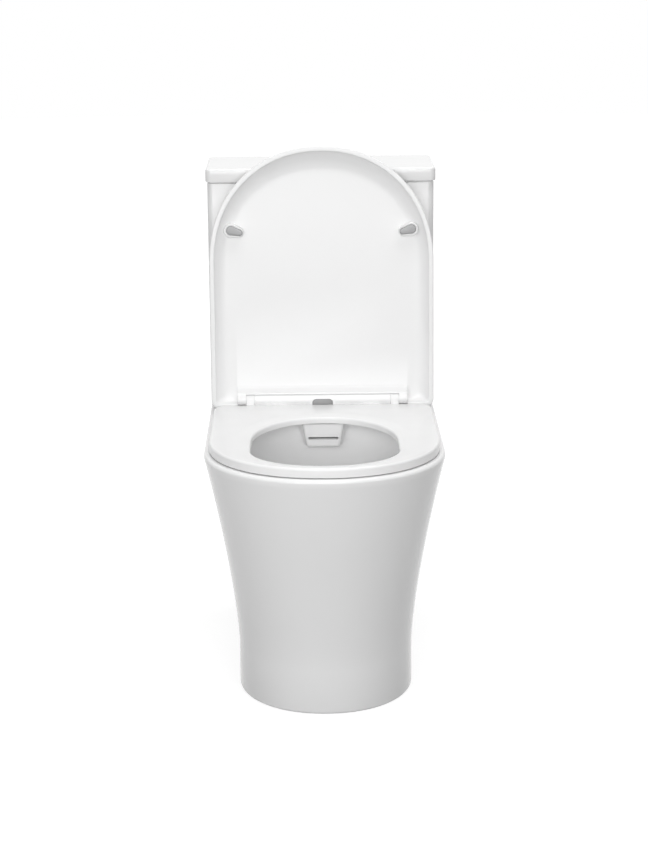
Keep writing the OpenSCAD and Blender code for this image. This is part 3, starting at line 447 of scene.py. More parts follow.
def tone_drift_group():
    """Slow change of tone over a surface, as glaze and moulded plastic have."""
    tree, given, out = node_group(
        "tone_drift",
        [("Vector", "NodeSocketVector", None), ("Colour", "NodeSocketColor", (0.8, 0.8, 0.8, 1)),
         ("Far Colour", "NodeSocketColor", (0.7, 0.7, 0.7, 1)), ("Scale", "NodeSocketFloat", 4.0)],
        [("Colour", "NodeSocketColor")])
    noise = noise_node(tree, 3.0)
    spread = tree.nodes.new("ShaderNodeMapRange")
    spread.inputs["From Min"].default_value = 0.3
    spread.inputs["From Max"].default_value = 0.7
    mix = tree.nodes.new("ShaderNodeMix")
    mix.data_type = "RGBA"
    tree.links.new(given.outputs["Vector"], noise.inputs["Vector"])
    tree.links.new(given.outputs["Scale"], noise.inputs["Scale"])
    tree.links.new(noise.outputs["Fac"], spread.inputs["Value"])
    tree.links.new(spread.outputs["Result"], mix.inputs["Factor"])
    tree.links.new(given.outputs["Colour"], mix.inputs[MIX_COLOUR_A])
    tree.links.new(given.outputs["Far Colour"], mix.inputs[MIX_COLOUR_B])
    tree.links.new(mix.outputs[MIX_COLOUR_OUT], out.inputs["Colour"])
    return tree


def vary_roughness(tree, given, out, pattern):
    """Adds a pattern about its middle, as strong as Spread says, to the Roughness of a group."""
    centred = math_node(tree, "SUBTRACT", 0.5)
    spread = math_node(tree, "MULTIPLY")
    total = math_node(tree, "ADD")
    total.use_clamp = True
    tree.links.new(pattern, centred.inputs[0])
    tree.links.new(centred.outputs[0], spread.inputs[0])
    tree.links.new(given.outputs["Spread"], spread.inputs[1])
    tree.links.new(given.outputs["Roughness"], total.inputs[0])
    tree.links.new(spread.outputs[0], total.inputs[1])
    tree.links.new(total.outputs[0], out.inputs["Roughness"])


def fine_grain_group():
    """Fine unevenness: a roughness that varies and a height for a bump."""
    tree, given, out = node_group(
        "fine_grain",
        [("Vector", "NodeSocketVector", None), ("Scale", "NodeSocketFloat", 300.0),
         ("Roughness", "NodeSocketFloat", 0.3), ("Spread", "NodeSocketFloat", 0.05),
         ("Wave Scale", "NodeSocketFloat", 25.0), ("Wave Share", "NodeSocketFloat", 0.5)],
        [("Roughness", "NodeSocketFloat"), ("Height", "NodeSocketFloat")])
    fine = noise_node(tree, 4.0, 0.6)
    wave = noise_node(tree, 2.0)
    blend = tree.nodes.new("ShaderNodeMix")
    vary_roughness(tree, given, out, wave.outputs["Fac"])
    for noise, scale in ((fine, "Scale"), (wave, "Wave Scale")):
        tree.links.new(given.outputs["Vector"], noise.inputs["Vector"])
        tree.links.new(given.outputs[scale], noise.inputs["Scale"])
    tree.links.new(given.outputs["Wave Share"], blend.inputs["Factor"])
    tree.links.new(fine.outputs["Fac"], blend.inputs[MIX_A])
    tree.links.new(wave.outputs["Fac"], blend.inputs[MIX_B])
    tree.links.new(blend.outputs[MIX_OUT], out.inputs["Height"])
    return tree


def settled_dust_group():
    """A little dust on what faces up, broken up by noise."""
    tree, given, out = node_group(
        "settled_dust",
        [("Vector", "NodeSocketVector", None), ("Colour", "NodeSocketColor", (0.8, 0.8, 0.8, 1)),
         ("Dust", "NodeSocketColor", (0.55, 0.53, 0.50, 1)), ("Amount", "NodeSocketFloat", 0.05)],
        [("Colour", "NodeSocketColor"), ("Mask", "NodeSocketFloat")])
    facing = tree.nodes.new("ShaderNodeNewGeometry")
    split = tree.nodes.new("ShaderNodeSeparateXYZ")
    up = math_node(tree, "MAXIMUM", 0.0)
    noise = noise_node(tree, 5.0, 0.65)
    noise.inputs["Scale"].default_value = 40.0
    broken = math_node(tree, "MULTIPLY")
    mask = math_node(tree, "MULTIPLY")
    mix = tree.nodes.new("ShaderNodeMix")
    mix.data_type = "RGBA"
    tree.links.new(facing.outputs["Normal"], split.inputs[0])
    tree.links.new(split.outputs["Z"], up.inputs[0])
    tree.links.new(given.outputs["Vector"], noise.inputs["Vector"])
    tree.links.new(noise.outputs["Fac"], broken.inputs[0])
    tree.links.new(up.outputs[0], broken.inputs[1])
    tree.links.new(broken.outputs[0], mask.inputs[0])
    tree.links.new(given.outputs["Amount"], mask.inputs[1])
    tree.links.new(mask.outputs[0], mix.inputs["Factor"])
    tree.links.new(given.outputs["Colour"], mix.inputs[MIX_COLOUR_A])
    tree.links.new(given.outputs["Dust"], mix.inputs[MIX_COLOUR_B])
    tree.links.new(mix.outputs[MIX_COLOUR_OUT], out.inputs["Colour"])
    tree.links.new(mask.outputs[0], out.inputs["Mask"])
    return tree


def turned_marks_group():
    """Fine rings along Z, as turning and drawing leave on metal."""
    tree, given, out = node_group(
        "turned_marks",
        [("Vector", "NodeSocketVector", None), ("Scale", "NodeSocketFloat", 900.0),
         ("Roughness", "NodeSocketFloat", 0.3), ("Spread", "NodeSocketFloat", 0.1)],
        [("Roughness", "NodeSocketFloat"), ("Height", "NodeSocketFloat")])
    wave = tree.nodes.new("ShaderNodeTexWave")
    wave.wave_type = "BANDS"
    wave.bands_direction = "Z"
    wave.inputs["Distortion"].default_value = 1.5
    wave.inputs["Detail"].default_value = 3.0
    vary_roughness(tree, given, out, wave.outputs["Fac"])
    tree.links.new(given.outputs["Vector"], wave.inputs["Vector"])
    tree.links.new(given.outputs["Scale"], wave.inputs["Scale"])
    tree.links.new(wave.outputs["Fac"], out.inputs["Height"])
    return tree


GROUPS = {
    "tone_drift": tone_drift_group,
    "fine_grain": fine_grain_group,
    "settled_dust": settled_dust_group,
    "turned_marks": turned_marks_group,
}


def place_group(tree, name, **values):
    """Puts a shared group into a material and sets its own values."""
    shared = bpy.data.node_groups.get(name) or GROUPS[name]()
    node = tree.nodes.new("ShaderNodeGroup")
    node.node_tree = shared
    for label, value in values.items():
        node.inputs[label.replace("_", " ")].default_value = value
    return node


def shade(colour, share):
    """A colour darkened by a share, as RGBA."""
    return (colour[0] * share, colour[1] * share, colour[2] * share, 1)


def make_material(name, colour, roughness=0.3, spread=0.05, metallic=0.0, drift=0.97, drift_scale=5.0,
                  grain=300.0, wave=25.0, wave_share=0.5, bump=0.05, bump_distance=0.0002, dust=0.03,
                  lathed=False, ior=1.5, sheen=0.0):
    """A finish from the shared groups, with the constants on the shader's own sockets."""
    found = bpy.data.materials.get(name)
    if found:
        return found
    material = bpy.data.materials.new(name)
    material.use_nodes = True
    tree = material.node_tree
    shader = tree.nodes["Principled BSDF"]
    coords = tree.nodes.new("ShaderNodeTexCoord")
    tone = place_group(tree, "tone_drift", Colour=(*colour, 1), Far_Colour=shade(colour, drift),
                       Scale=drift_scale)
    dusty = place_group(tree, "settled_dust", Amount=dust)
    if lathed:
        fine = place_group(tree, "turned_marks", Scale=grain, Roughness=roughness, Spread=spread)
    else:
        fine = place_group(tree, "fine_grain", Scale=grain, Roughness=roughness, Spread=spread,
                           Wave_Scale=wave, Wave_Share=wave_share)
    relief = tree.nodes.new("ShaderNodeBump")
    relief.inputs["Strength"].default_value = bump
    relief.inputs["Distance"].default_value = bump_distance
    for node in (tone, dusty, fine):
        tree.links.new(coords.outputs["Object"], node.inputs["Vector"])
    tree.links.new(tone.outputs["Colour"], dusty.inputs["Colour"])
    tree.links.new(dusty.outputs["Colour"], shader.inputs["Base Color"])
    tree.links.new(fine.outputs["Roughness"], shader.inputs["Roughness"])
    tree.links.new(fine.outputs["Height"], relief.inputs["Height"])
    tree.links.new(relief.outputs["Normal"], shader.inputs["Normal"])
    shader.inputs["Metallic"].default_value = metallic
    shader.inputs["IOR"].default_value = ior
    shader.inputs["Sheen Weight"].default_value = sheen
    return material


def china():
    return make_material("glazed_china", finish().china, roughness=0.13, spread=0.06, drift=0.985,
                         drift_scale=6.0, grain=160.0, wave=22.0, wave_share=0.8, bump=0.12,
                         bump_distance=0.0006, dust=0.01, ior=1.45)


def seat_plastic():
    return make_material("dense_white_plastic", finish().seat, roughness=0.24, spread=0.05, drift=0.992,
                         drift_scale=7.0, grain=420.0, wave=35.0, wave_share=0.6, bump=0.06,
                         dust=0.01, ior=1.45)


def hinge_plastic():
    return make_material("hinge_white_plastic", finish().hinge, roughness=0.32, spread=0.06, drift=0.985,
                         grain=700.0, bump=0.06, dust=0.02)


def pad_rubber():
    return make_material("soft_grey_pad", finish().pad, roughness=0.62, spread=0.08, drift=0.93,
                         drift_scale=60.0, grain=900.0, bump=0.15, dust=0.04, sheen=0.1)


def button_plastic():
    return make_material("grey_button_plastic", finish().button, roughness=0.45, spread=0.08, drift=0.93,
                         drift_scale=40.0, grain=900.0, bump=0.12, dust=0.02)


def steel():
    return make_material("bright_steel", (0.58, 0.59, 0.60), roughness=0.28, spread=0.12, metallic=1.0,
                         drift=0.9, drift_scale=30.0, grain=260.0, bump=0.05, dust=0.0, lathed=True)


def brass():
    return make_material("turned_brass", (0.62, 0.45, 0.19), roughness=0.3, spread=0.14, metallic=1.0,
                         drift=0.8, drift_scale=40.0, grain=260.0, bump=0.06, dust=0.0, lathed=True)


def chrome():
    return make_material("polished_chrome", finish().chrome, roughness=0.07, spread=0.04, metallic=1.0,
                         drift=0.97, drift_scale=20.0, grain=500.0, wave=60.0, bump=0.02, dust=0.01)


def black_rubber():
    return make_material("black_rubber", (0.022, 0.022, 0.024), roughness=0.66, spread=0.12, drift=1.6,
                         drift_scale=45.0, grain=800.0, bump=0.2, dust=0.06, sheen=0.15)


def foam():
    return make_material("closed_cell_foam", (0.035, 0.035, 0.038), roughness=0.85, spread=0.1, drift=1.5,
                         drift_scale=120.0, grain=1100.0, wave_share=0.1, bump=0.5,
                         bump_distance=0.0006, dust=0.05)


def silicone():
    return make_material("silicone_seal", (0.05, 0.05, 0.055), roughness=0.42, spread=0.08, drift=1.2,
                         drift_scale=50.0, grain=500.0, bump=0.1, dust=0.0)


def valve_plastic(name="valve_white_plastic", colour=(0.80, 0.80, 0.785)):
    return make_material(name, colour, roughness=0.4, spread=0.1, drift=0.94, drift_scale=25.0,
                         grain=650.0, wave=80.0, bump=0.12, dust=0.03)


def finish():
    """The colours of the sidebar."""
    return bpy.context.scene.toilet_finish


def sizes():
    """The sizes of the sidebar."""
    return bpy.context.scene.toilet_sizes


# ---------------------------------------------------------------- settings


class ToiletSizes(bpy.types.PropertyGroup):
    """Sizes of edges and details that are only drawn here."""

    rim_edge: bpy.props.FloatProperty(
        name="Rim Edge", description="Radius of the outer edge of the rim", default=0.006,
        min=0.005, max=0.010, unit="LENGTH")
    bowl_lip: bpy.props.FloatProperty(
        name="Bowl Lip", description="Radius of the lip of the bowl opening", default=0.007,
        min=0.003, max=0.009, unit="LENGTH")
    cistern_edge: bpy.props.FloatProperty(
        name="Cistern Edge", description="Radius of the lower edge of the cistern", default=0.004,
        min=0.001, max=0.008, unit="LENGTH")
    lid_edge: bpy.props.FloatProperty(
        name="Lid Edge", description="Radius of the upper edge of the cistern lid", default=0.004,
        min=0.002, max=0.005, unit="LENGTH")
    seat_edge: bpy.props.FloatProperty(
        name="Seat Edge", description="Radius of the outer edge of the seat ring", default=0.004,
        min=0.002, max=0.005, unit="LENGTH")
    slot_height: bpy.props.FloatProperty(
        name="Flush Slot", description="Height of the flush slot at the back of the bowl",
        default=0.0024, min=0.002, max=0.005, unit="LENGTH")


class ToiletFinish(bpy.types.PropertyGroup):
    """Colours of the pieces that show."""

    china: bpy.props.FloatVectorProperty(
        name="China", description="Colour of the glaze", default=(0.84, 0.84, 0.84),
        subtype="COLOR", min=0.0, max=1.0)
    seat: bpy.props.FloatVectorProperty(
        name="Seat", description="Colour of the seat and the cover", default=(0.83, 0.83, 0.83),
        subtype="COLOR", min=0.0, max=1.0)
    hinge: bpy.props.FloatVectorProperty(
        name="Hinge", description="Colour of the hinge barrel", default=(0.90, 0.90, 0.90),
        subtype="COLOR", min=0.0, max=1.0)
    pad: bpy.props.FloatVectorProperty(
        name="Buffers", description="Colour of the soft buffers", default=(0.44, 0.44, 0.445),
        subtype="COLOR", min=0.0, max=1.0)
    button: bpy.props.FloatVectorProperty(
        name="Release Button", description="Colour of the quick-release button",
        default=(0.30, 0.30, 0.30), subtype="COLOR", min=0.0, max=1.0)
    chrome: bpy.props.FloatVectorProperty(
        name="Chrome", description="Colour of the plated flush buttons", default=(0.76, 0.77, 0.79),
        subtype="COLOR", min=0.0, max=1.0)


# ---------------------------------------------------------------- china

PLINTH_H = 70
RIM_HALF = 187
BASE_HALF = 139
RIM_ARC = 183.2
BASE_ARC = 161.2
BASE_SETBACK = 102.2
SKIRT_POWER = 1.4
REAR_CORNER = 12
CHINA_T = 11
DECK_UNDER = RIM_Z - 15
BOWL_HALF = 155
BOWL_FRONT = FRONT_Y + 32
BOWL_WIDE = FRONT_Y + RIM_ARC
BOWL_REAR = 52
BOWL_CORNER = 100
WALL_DRAFT = 4
SHELF_Z = 361
SUMP_Z = 88
SUMP_TOP = 214
SUMP_R = 26
DUCT_HALF = 34
DUCT_FOOT_HALF = 28
DUCT_T = 8
DUCT_FRONT = 25
DUCT_UNDER = RIM_Z - 40
DUCT_ROOF = RIM_Z - 18
SLOT_HALF = 25
SLOT_Z = RIM_Z - 25
TRAP_R = 36
TRAP_T = 8
TRAP_MOUTH = BOWL_REAR - 8
TRAP_END = 285
BEND_R = 48
WEIR_Z = 250
OUTLET_Z = 180
SPIGOT_Y = 310
SPIGOT_R = 51
SPIGOT_BORE = 43
BOSS_R = 58
FLUSH_HOLE_R = 36
GASKET_SEAT_R = 50
GASKET_SEAT_H = 12
INLET_HOLE_R = 24
FIXING_HOLE_R = 7.5
BOLT_HOLE_R = 7
SCREW_HOLE_R = 4.5
SCREW_Z = 25
BACK_OPENING = (200, 330, 12)
BACK_OPENING_Z = 153

# Outline of the bowl where it meets the sump
SUMP_HALF = 52
SUMP_FRONT = -61.9
SUMP_WIDE = -13.6
SUMP_CORNER = 45.9


def skirt_share(z, side_z):
    """0 on the plinth and 1 at the rim, on the curve of the skirt."""
    return max(0, (z - PLINTH_H) / (side_z - PLINTH_H)) ** SKIRT_POWER


def skirt_ring(z, inset, side_z):
    """Outline of the skirt at a height, drawn in by an inset."""
    g = skirt_share(z, side_z)
    return d_ring(lerp(BASE_HALF, RIM_HALF, g) - inset, FRONT_Y + BASE_SETBACK * (1 - g) + inset,
                  lerp(BASE_ARC, RIM_ARC, g) - inset, WALL_Y - inset, max(REAR_CORNER - inset, 3))


def bowl_ring(share, grow):
    """Share 0 is the bowl just below its upright wall and 1 is the sump."""
    inner = WALL_DRAFT
    half = lerp(BOWL_HALF - inner, SUMP_HALF, share)
    front = lerp(BOWL_FRONT + inner, SUMP_FRONT, share)
    wide = lerp(BOWL_WIDE, SUMP_WIDE, share)
    rear = BOWL_REAR - inner
    corner = lerp(BOWL_CORNER - inner, SUMP_CORNER, share)
    return oval_ring(half + grow, front - grow, wide - front + grow, rear + grow, corner + grow)


def wall_ring(grow):
    """Outline of the bowl's upright wall below the rim."""
    return oval_ring(BOWL_HALF + grow, BOWL_FRONT - grow, BOWL_WIDE - BOWL_FRONT + grow,
                     BOWL_REAR + grow, BOWL_CORNER + grow)


COVE_Z = 375
# Height, and how far the inside of the bowl has closed in there
HOLLOW = ((375, 0), (370, 0.005), (365, 0.022), (360, 0.052), (354, 0.1), (346, 0.165), (334, 0.255),
          (318, 0.37), (300, 0.487), (280, 0.61), (258, 0.745), (236, 0.885), (224, 0.955), (214, 1))


def hollow_share(z):
    """How far the inside of the bowl has closed in at a height, along a smooth curve."""
    heights = [point[0] for point in HOLLOW]
    k = 0
    while k < len(HOLLOW) - 2 and z < heights[k + 1]:
        k += 1
    slopes = []
    for j in (k, k + 1):
        low = max(j - 1, 0)
        high = min(j + 1, len(HOLLOW) - 1)
        slopes.append((HOLLOW[high][1] - HOLLOW[low][1]) / (HOLLOW[high][0] - HOLLOW[low][0]))
    (z0, a), (z1, b) = HOLLOW[k], HOLLOW[k + 1]
    span = z1 - z0
    t = (z - z0) / span
    return (a * (1 + 2 * t) * (1 - t) ** 2 + slopes[0] * span * t * (1 - t) ** 2
            + b * t * t * (3 - 2 * t) + slopes[1] * span * t * t * (t - 1))


def pan_shell(rim_r, lip_r):
    """The casting's skin as one row of rings, from the sump up, over the rim and back under the bowl."""
    side_z = RIM_Z - rim_r
    rings = []
    for c, s in quarter_turn(8):
        rings.append(at(bowl_ring(1, -SUMP_R * (1 - s)), SUMP_Z + SUMP_R * c))
    steps = 40
    for i in range(steps, -1, -1):
        z = lerp(COVE_Z, SUMP_TOP, (i / steps) ** 1.2)
        rings.append(at(bowl_ring(hollow_share(z), 0), z))
    for c, s in quarter_turn(8):
        rings.append(at(wall_ring(lip_r * c), RIM_Z - lip_r * (1 - s)))
    for c, s in reversed(quarter_turn(10)):
        rings.append(at(skirt_ring(side_z, rim_r * c, side_z), side_z + rim_r * s))
    steps = 34
    for i in range(1, steps + 1):
        z = lerp(side_z, PLINTH_H, i / steps)
        rings.append(at(skirt_ring(z, 0, side_z), z))
    foot = 4
    for c, s in quarter_turn(4):
        rings.append(at(skirt_ring(0, foot * c, side_z), foot * (1 - s)))
    rings.append(at(skirt_ring(0, CHINA_T, side_z), 0))
    steps = 12
    for i in range(steps + 1):
        z = lerp(PLINTH_H, DECK_UNDER - rim_r, i / steps)
        rings.append(at(skirt_ring(z, CHINA_T, side_z), z))
    rings.append(at(skirt_ring(side_z, CHINA_T + 3, side_z), DECK_UNDER))
    rings.append(at(wall_ring(CHINA_T + 3), DECK_UNDER))
    rings.append(at(wall_ring(CHINA_T - WALL_DRAFT), SHELF_Z))
    steps = 16
    for i in range(1, steps + 1):
        s = i / steps
        share = math.sin(math.radians(90 * s))
        rings.append(at(bowl_ring(share, CHINA_T), lerp(SHELF_Z, SUMP_TOP, s) - CHINA_T * (1 - s)))
    for c, s in reversed(quarter_turn(6)):
        rings.append(at(bowl_ring(1, CHINA_T - SUMP_R * (1 - s)), SUMP_Z - CHINA_T + SUMP_R * c))
    return loft(rings)


def trap_path(start_y, end_y):
    """The middle of the trap: level, up, over the weir, down and level again."""
    up = math.radians(75)
    down = math.radians(-55)
    start = np.array([0, TRAP_MOUTH + CHINA_T, SUMP_Z + TRAP_R], float)
    low = start[2]
    rise = (WEIR_Z - low - 2 * BEND_R * (1 - math.cos(up))) / math.sin(up)
    fall = (WEIR_Z - OUTLET_Z - 2 * BEND_R * (1 - math.cos(down))) / -math.sin(down)
    points = [np.array([0, start_y, low], float)]
    place = start
    for a0, a1, straight in ((0, up, rise), (up, down, fall), (down, 0, 0)):
        side = 1 if a1 > a0 else -1
        steps = 10
        for i in range(steps + 1):
            a = lerp(a0, a1, i / steps)
            points.append(place + BEND_R * np.array([0, side * (math.sin(a) - math.sin(a0)),
                                                     -side * (math.cos(a) - math.cos(a0))]))
        place = points[-1] + straight * np.array([0, math.cos(a1), math.sin(a1)])
    points.append(np.array([0, end_y, OUTLET_Z], float))
    return points


def duct_outline(half, foot, low, high, radius, steps=6):
    """Section of the duct in X and Z: wide at the top, narrower and rounded at the bottom."""
    points = [(lerp(half, foot, i / steps), lerp(high, low + radius, i / steps)) for i in range(steps)]
    for c, s in quarter_turn(steps):
        points.append((foot - radius * c, low + radius * (1 - s)))
    return points + [(-x, z) for x, z in reversed(points)]


def duct_outside():
    """The block at the back of the bowl, flared where it leaves the wall and rounded at its front."""
    rings = []
    depth = 5
    high = RIM_Z - 1
    corner = 5
    for c, s in quarter_turn(8):
        shrink = depth * (1 - s)
        outline = duct_outline(DUCT_HALF - shrink, DUCT_FOOT_HALF - shrink, DUCT_UNDER + shrink, high, corner)
        rings.append([(x, DUCT_FRONT + depth * c, z) for x, z in outline])
    for y, grow in ((39, 0.2), (42.5, 0.9), (45, 2.1), (46.8, 3.8), (48.2, 6), (50, 8.6), (53, 12)):
        outline = duct_outline(DUCT_HALF + grow, DUCT_FOOT_HALF + grow, DUCT_UNDER - grow * 0.6, high,
                               corner + grow)
        rings.append([(x, y, z) for x, z in outline])
    for y in (58, DRAIN_Y):
        outline = duct_outline(DUCT_HALF, DUCT_FOOT_HALF, DUCT_UNDER, high, corner)
        rings.append([(x, y, z) for x, z in outline])
    return loft(rings), plug(BOSS_R, DUCT_UNDER, DECK_UNDER + 3, 0, DRAIN_Y)


def slot_shape(height):
    """The flush slot with rounded ends, flared at its mouth."""
    rings = []
    for y, flare in ((-CUT, 1.4), (0, 1.4), (0.8, 0.8), (2, 0.3), (4, 0), (DUCT_T + 4, 0)):
        r = height / 2 + flare
        angles = np.linspace(-math.pi / 2, math.pi / 2, 13)
        outline = [(SLOT_HALF - height + r * math.cos(t), SLOT_Z + r * math.sin(t)) for t in angles]
        outline += [(-x, z) for x, z in reversed(outline)]
        rings.append([(x, DUCT_FRONT + y, z) for x, z in outline])
    return loft(rings)


def plug(radius, low, high, x=0, y=0, sides=ROUND):
    """An upright round rod at a place, mostly for a hole."""
    return moved(rod(radius, low, high, sides), (x, y, 0))


def build_pan():
    """The pan: skirt, rim, bowl, flush duct, trap and outlet as one casting."""
    pan = build("pan_casting", pan_shell(sizes().rim_edge / MM, sizes().bowl_lip / MM))
    duct, boss = duct_outside()
    spigot = moved(lathe(rounded_rod(SPIGOT_R, -50, 0, 1.5)), (0, SPIGOT_Y, OUTLET_Z), TOWARDS_WALL)
    trap = tube(trap_path(TRAP_MOUTH + 7, TRAP_END), TRAP_R + TRAP_T, 40)
    combine(pan, [duct, boss, trap, spigot], "UNION")
    bore = tube(trap_path(TRAP_MOUTH - TRAP_R / 2, TRAP_END), TRAP_R, 40)
    outlet = moved(rod(SPIGOT_BORE, -42, CUT), (0, SPIGOT_Y, OUTLET_Z), TOWARDS_WALL)
    inner = block((-SLOT_HALF, DUCT_FRONT + DUCT_T, DUCT_UNDER + DUCT_T), (SLOT_HALF, DRAIN_Y, DUCT_ROOF))
    screw_hole = moved(rod(SCREW_HOLE_R, -10, 10), (BASE_HALF, BRACKET_Y, SCREW_Z), ALONG_X)
    opening = [(x, z + BACK_OPENING_Z) for x, z in plate_ring(*BACK_OPENING)]
    combine(pan, [
        inner,
        slot_shape(sizes().slot_height / MM),
        bore,
        outlet,
        plug(FLUSH_HOLE_R, DUCT_UNDER + DUCT_T, RIM_Z + CUT, 0, DRAIN_Y),
        plug(GASKET_SEAT_R, RIM_Z - GASKET_SEAT_H, RIM_Z + CUT, 0, DRAIN_Y),
        plug(INLET_HOLE_R, DECK_UNDER - CUT, RIM_Z + CUT, *INLET),
        both(plug(FIXING_HOLE_R, DECK_UNDER - CUT, RIM_Z + CUT, FIXING_X, HINGE_Y)),
        both(plug(BOLT_HOLE_R, DECK_UNDER - CUT, RIM_Z + CUT, BOLT_X, DRAIN_Y)),
        both(screw_hole),
        along_y(opening, (WALL_Y - CHINA_T - 1, WALL_Y + CUT)),
    ], "DIFFERENCE")
    dress(pan, china(), "pan_body", ["pan"], angle=50)


CISTERN_W = 373
CISTERN_D = 166
CISTERN_T = 9
CISTERN_CORNER = 10
TANK_COVE = 8
DRAIN_HOLE_R = 31.5
BOLT_SLEEVE_R = 6
REBATE_H = 2.5
REBATE_W = 3.5


def cistern_ring(inset, z):
    """Outline of the tank at a height, drawn in by an inset."""
    ring = plate_ring(CISTERN_W - 2 * inset, CISTERN_D - 2 * inset, max(CISTERN_CORNER - inset, 3))
    return at(ring, z, dy=WALL_Y - CISTERN_D / 2)


def build_cistern():
    """The tank, open at the top, with the holes in its floor."""
    edge = sizes().cistern_edge / MM
    shoulder = 1.8
    lip = 1.5
    rings = [cistern_ring(edge + 4, CISTERN_Z)]
    for c, s in reversed(quarter_turn(5)):
        rings.append(cistern_ring(edge * c, CISTERN_Z + edge * (1 - s)))
    for c, s in quarter_turn(4):
        rings.append(cistern_ring(shoulder * c, LID_Z - REBATE_H - shoulder * (1 - s)))
    rings.append(cistern_ring(REBATE_W, LID_Z - REBATE_H))
    rings.append(cistern_ring(REBATE_W, LID_Z))
    for c, s in reversed(quarter_turn(3)):
        rings.append(cistern_ring(CISTERN_T - lip * c, LID_Z - lip * (1 - s)))
    rings.append(cistern_ring(CISTERN_T, TANK_FLOOR + TANK_COVE))
    for c, s in reversed(quarter_turn(4)):
        rings.append(cistern_ring(CISTERN_T + TANK_COVE * c, TANK_FLOOR + TANK_COVE * (1 - s)))
    tank = build("cistern_tank", loft(rings))
    combine(tank, [
        plug(DRAIN_HOLE_R, CISTERN_Z - CUT, TANK_FLOOR + CUT, 0, DRAIN_Y),
        plug(SHANK_R + 0.5, CISTERN_Z - CUT, TANK_FLOOR + CUT, *INLET),
        both(plug(BOLT_SLEEVE_R, CISTERN_Z - CUT, TANK_FLOOR + CUT, BOLT_X, DRAIN_Y)),
    ], "DIFFERENCE")
    dress(tank, china(), "pan_body", ["cistern"])


LID_W = 378
LID_D = 174
# Width, depth and corner of the lip that drops into the tank, outside and inside
LIP_OUT = (352, 145, 6)
LIP_IN = (340, 133, 6)
BEZEL_HOLE_R = 24


def lid_ring(inset, z):
    """Outline of the lid at a height, drawn in by an inset."""
    ring = plate_ring(LID_W - 2 * inset, LID_D - 2 * inset, max(CISTERN_CORNER - inset, 2))
    return at(ring, z, dy=WALL_Y - LID_D / 2)


def build_lid():
    """The cistern lid, hollow below, with the lip that drops into the tank."""
    edge = sizes().lid_edge / MM
    rings = [lid_ring(2.5, LID_Z), lid_ring(1, LID_Z), lid_ring(0.3, LID_Z + 0.3), lid_ring(0, LID_Z + 1)]
    for c, s in quarter_turn(6):
        rings.append(lid_ring(edge * c, LID_TOP - edge * (1 - s)))
    rings.append(lid_ring(edge + 3, LID_TOP))
    lid = build("cistern_lid_china", loft(rings))
    width, depth, corner = LIP_OUT
    lip = [at(plate_ring(width - 2 * i, depth - 2 * i, corner - i), z, dy=DRAIN_Y)
           for i, z in ((1, LID_Z - 6), (0, LID_Z - 5), (0, LID_Z + 4))]
    combine(lid, [loft(lip)], "UNION")
    hollow = [at(plate_ring(*LIP_IN), z, dy=DRAIN_Y) for z in (LID_Z - 8, LID_UNDER)]
    button_hole = plug(BEZEL_HOLE_R, LID_UNDER - CUT, LID_TOP + CUT, 0, DRAIN_Y)
    combine(lid, [loft(hollow), button_hole], "DIFFERENCE")
    dress(lid, china(), "lid_body", ["cistern_lid"])


# ---------------------------------------------------------------- seat and cover

SEAT_Z = 409
SEAT_SKIRT_Z = 407.4
SEAT_TOP = 422
SEAT_FRONT = -319
SEAT_REAR = 92.3
SEAT_ARC = 184.7
SEAT_CORNER = 24
SEAT_HALF = 179
OPENING_HALF = 114
OPENING_FRONT = -290.5
OPENING_ARC = 98.2
OPENING_REAR = 11.5
OPENING_CORNER = 143
LUG_IN = 14
ARM_TOP = -8.9


def seat_out(inset):
    """Outline of the seat. Its edge is only half as round at the back as elsewhere."""
    return d_ring(SEAT_HALF - inset, SEAT_FRONT + inset, SEAT_ARC - inset, SEAT_REAR - inset / 2,
                  SEAT_CORNER - inset)


def seat_in(grow):
    """Outline of the seat's opening."""
    return oval_ring(OPENING_HALF + grow, OPENING_FRONT - grow, OPENING_ARC + grow, OPENING_REAR + grow,
                     OPENING_CORNER + grow, SEAT_CORNER_SHARE)


def build_seat():
    """The seat ring, with a soft slope round its opening, and the two hinge lugs."""
    edge = sizes().seat_edge / MM
    drop = 2
    slope_w = 24
    under = 1.5
    skirt = 1.2
    rings = []
    for c, s in quarter_turn(4):
        rings.append(at(seat_in(under * (1 - s)), SEAT_Z + under * c))
    for c, s in quarter_turn(8):
        rings.append(at(seat_in(edge * c), SEAT_TOP - drop - edge * (1 - s)))
    steps = 10
    for i in range(1, steps + 1):
        t = i / steps
        rings.append(at(seat_in(lerp(edge, slope_w, t)), SEAT_TOP - drop * (1 - t) ** 2))
    for c, s in reversed(quarter_turn(8)):
        rings.append(at(seat_out(edge * c), SEAT_TOP - edge * (1 - s)))
    for c, s in reversed(quarter_turn(4)):
        rings.append(at(seat_out(skirt * (1 - s)), SEAT_SKIRT_Z + skirt * c))
    rings.append(at(seat_out(3), SEAT_SKIRT_Z))
    rings.append(at(seat_out(5), SEAT_Z))
    ring = build("seat_moulding", loft(rings, closed=True))
    pocket = block((LUG_X[0], SEAT_REAR - LUG_IN, SEAT_Z + 4), (LUG_X[1], SEAT_REAR + CUT, HINGE_Z + ARM_TOP))
    combine(ring, [both(pocket)], "DIFFERENCE")
    dress(ring, seat_plastic(), "seat_body", ["seat_ring"])
    front = SEAT_REAR - LUG_IN - HINGE_Y
    low = SEAT_Z + 4 - HINGE_Z
    lugs = knuckle("seat_lug_pair", LUG_X, (-60, 180), [
        (-BARREL_R, ARM_TOP), (front, ARM_TOP), (front, low), (BARREL_R / 2, low)])
    settle_at_hinge(lugs)
    dress(lugs, seat_plastic(), "seat_body", ["seat_lugs"])


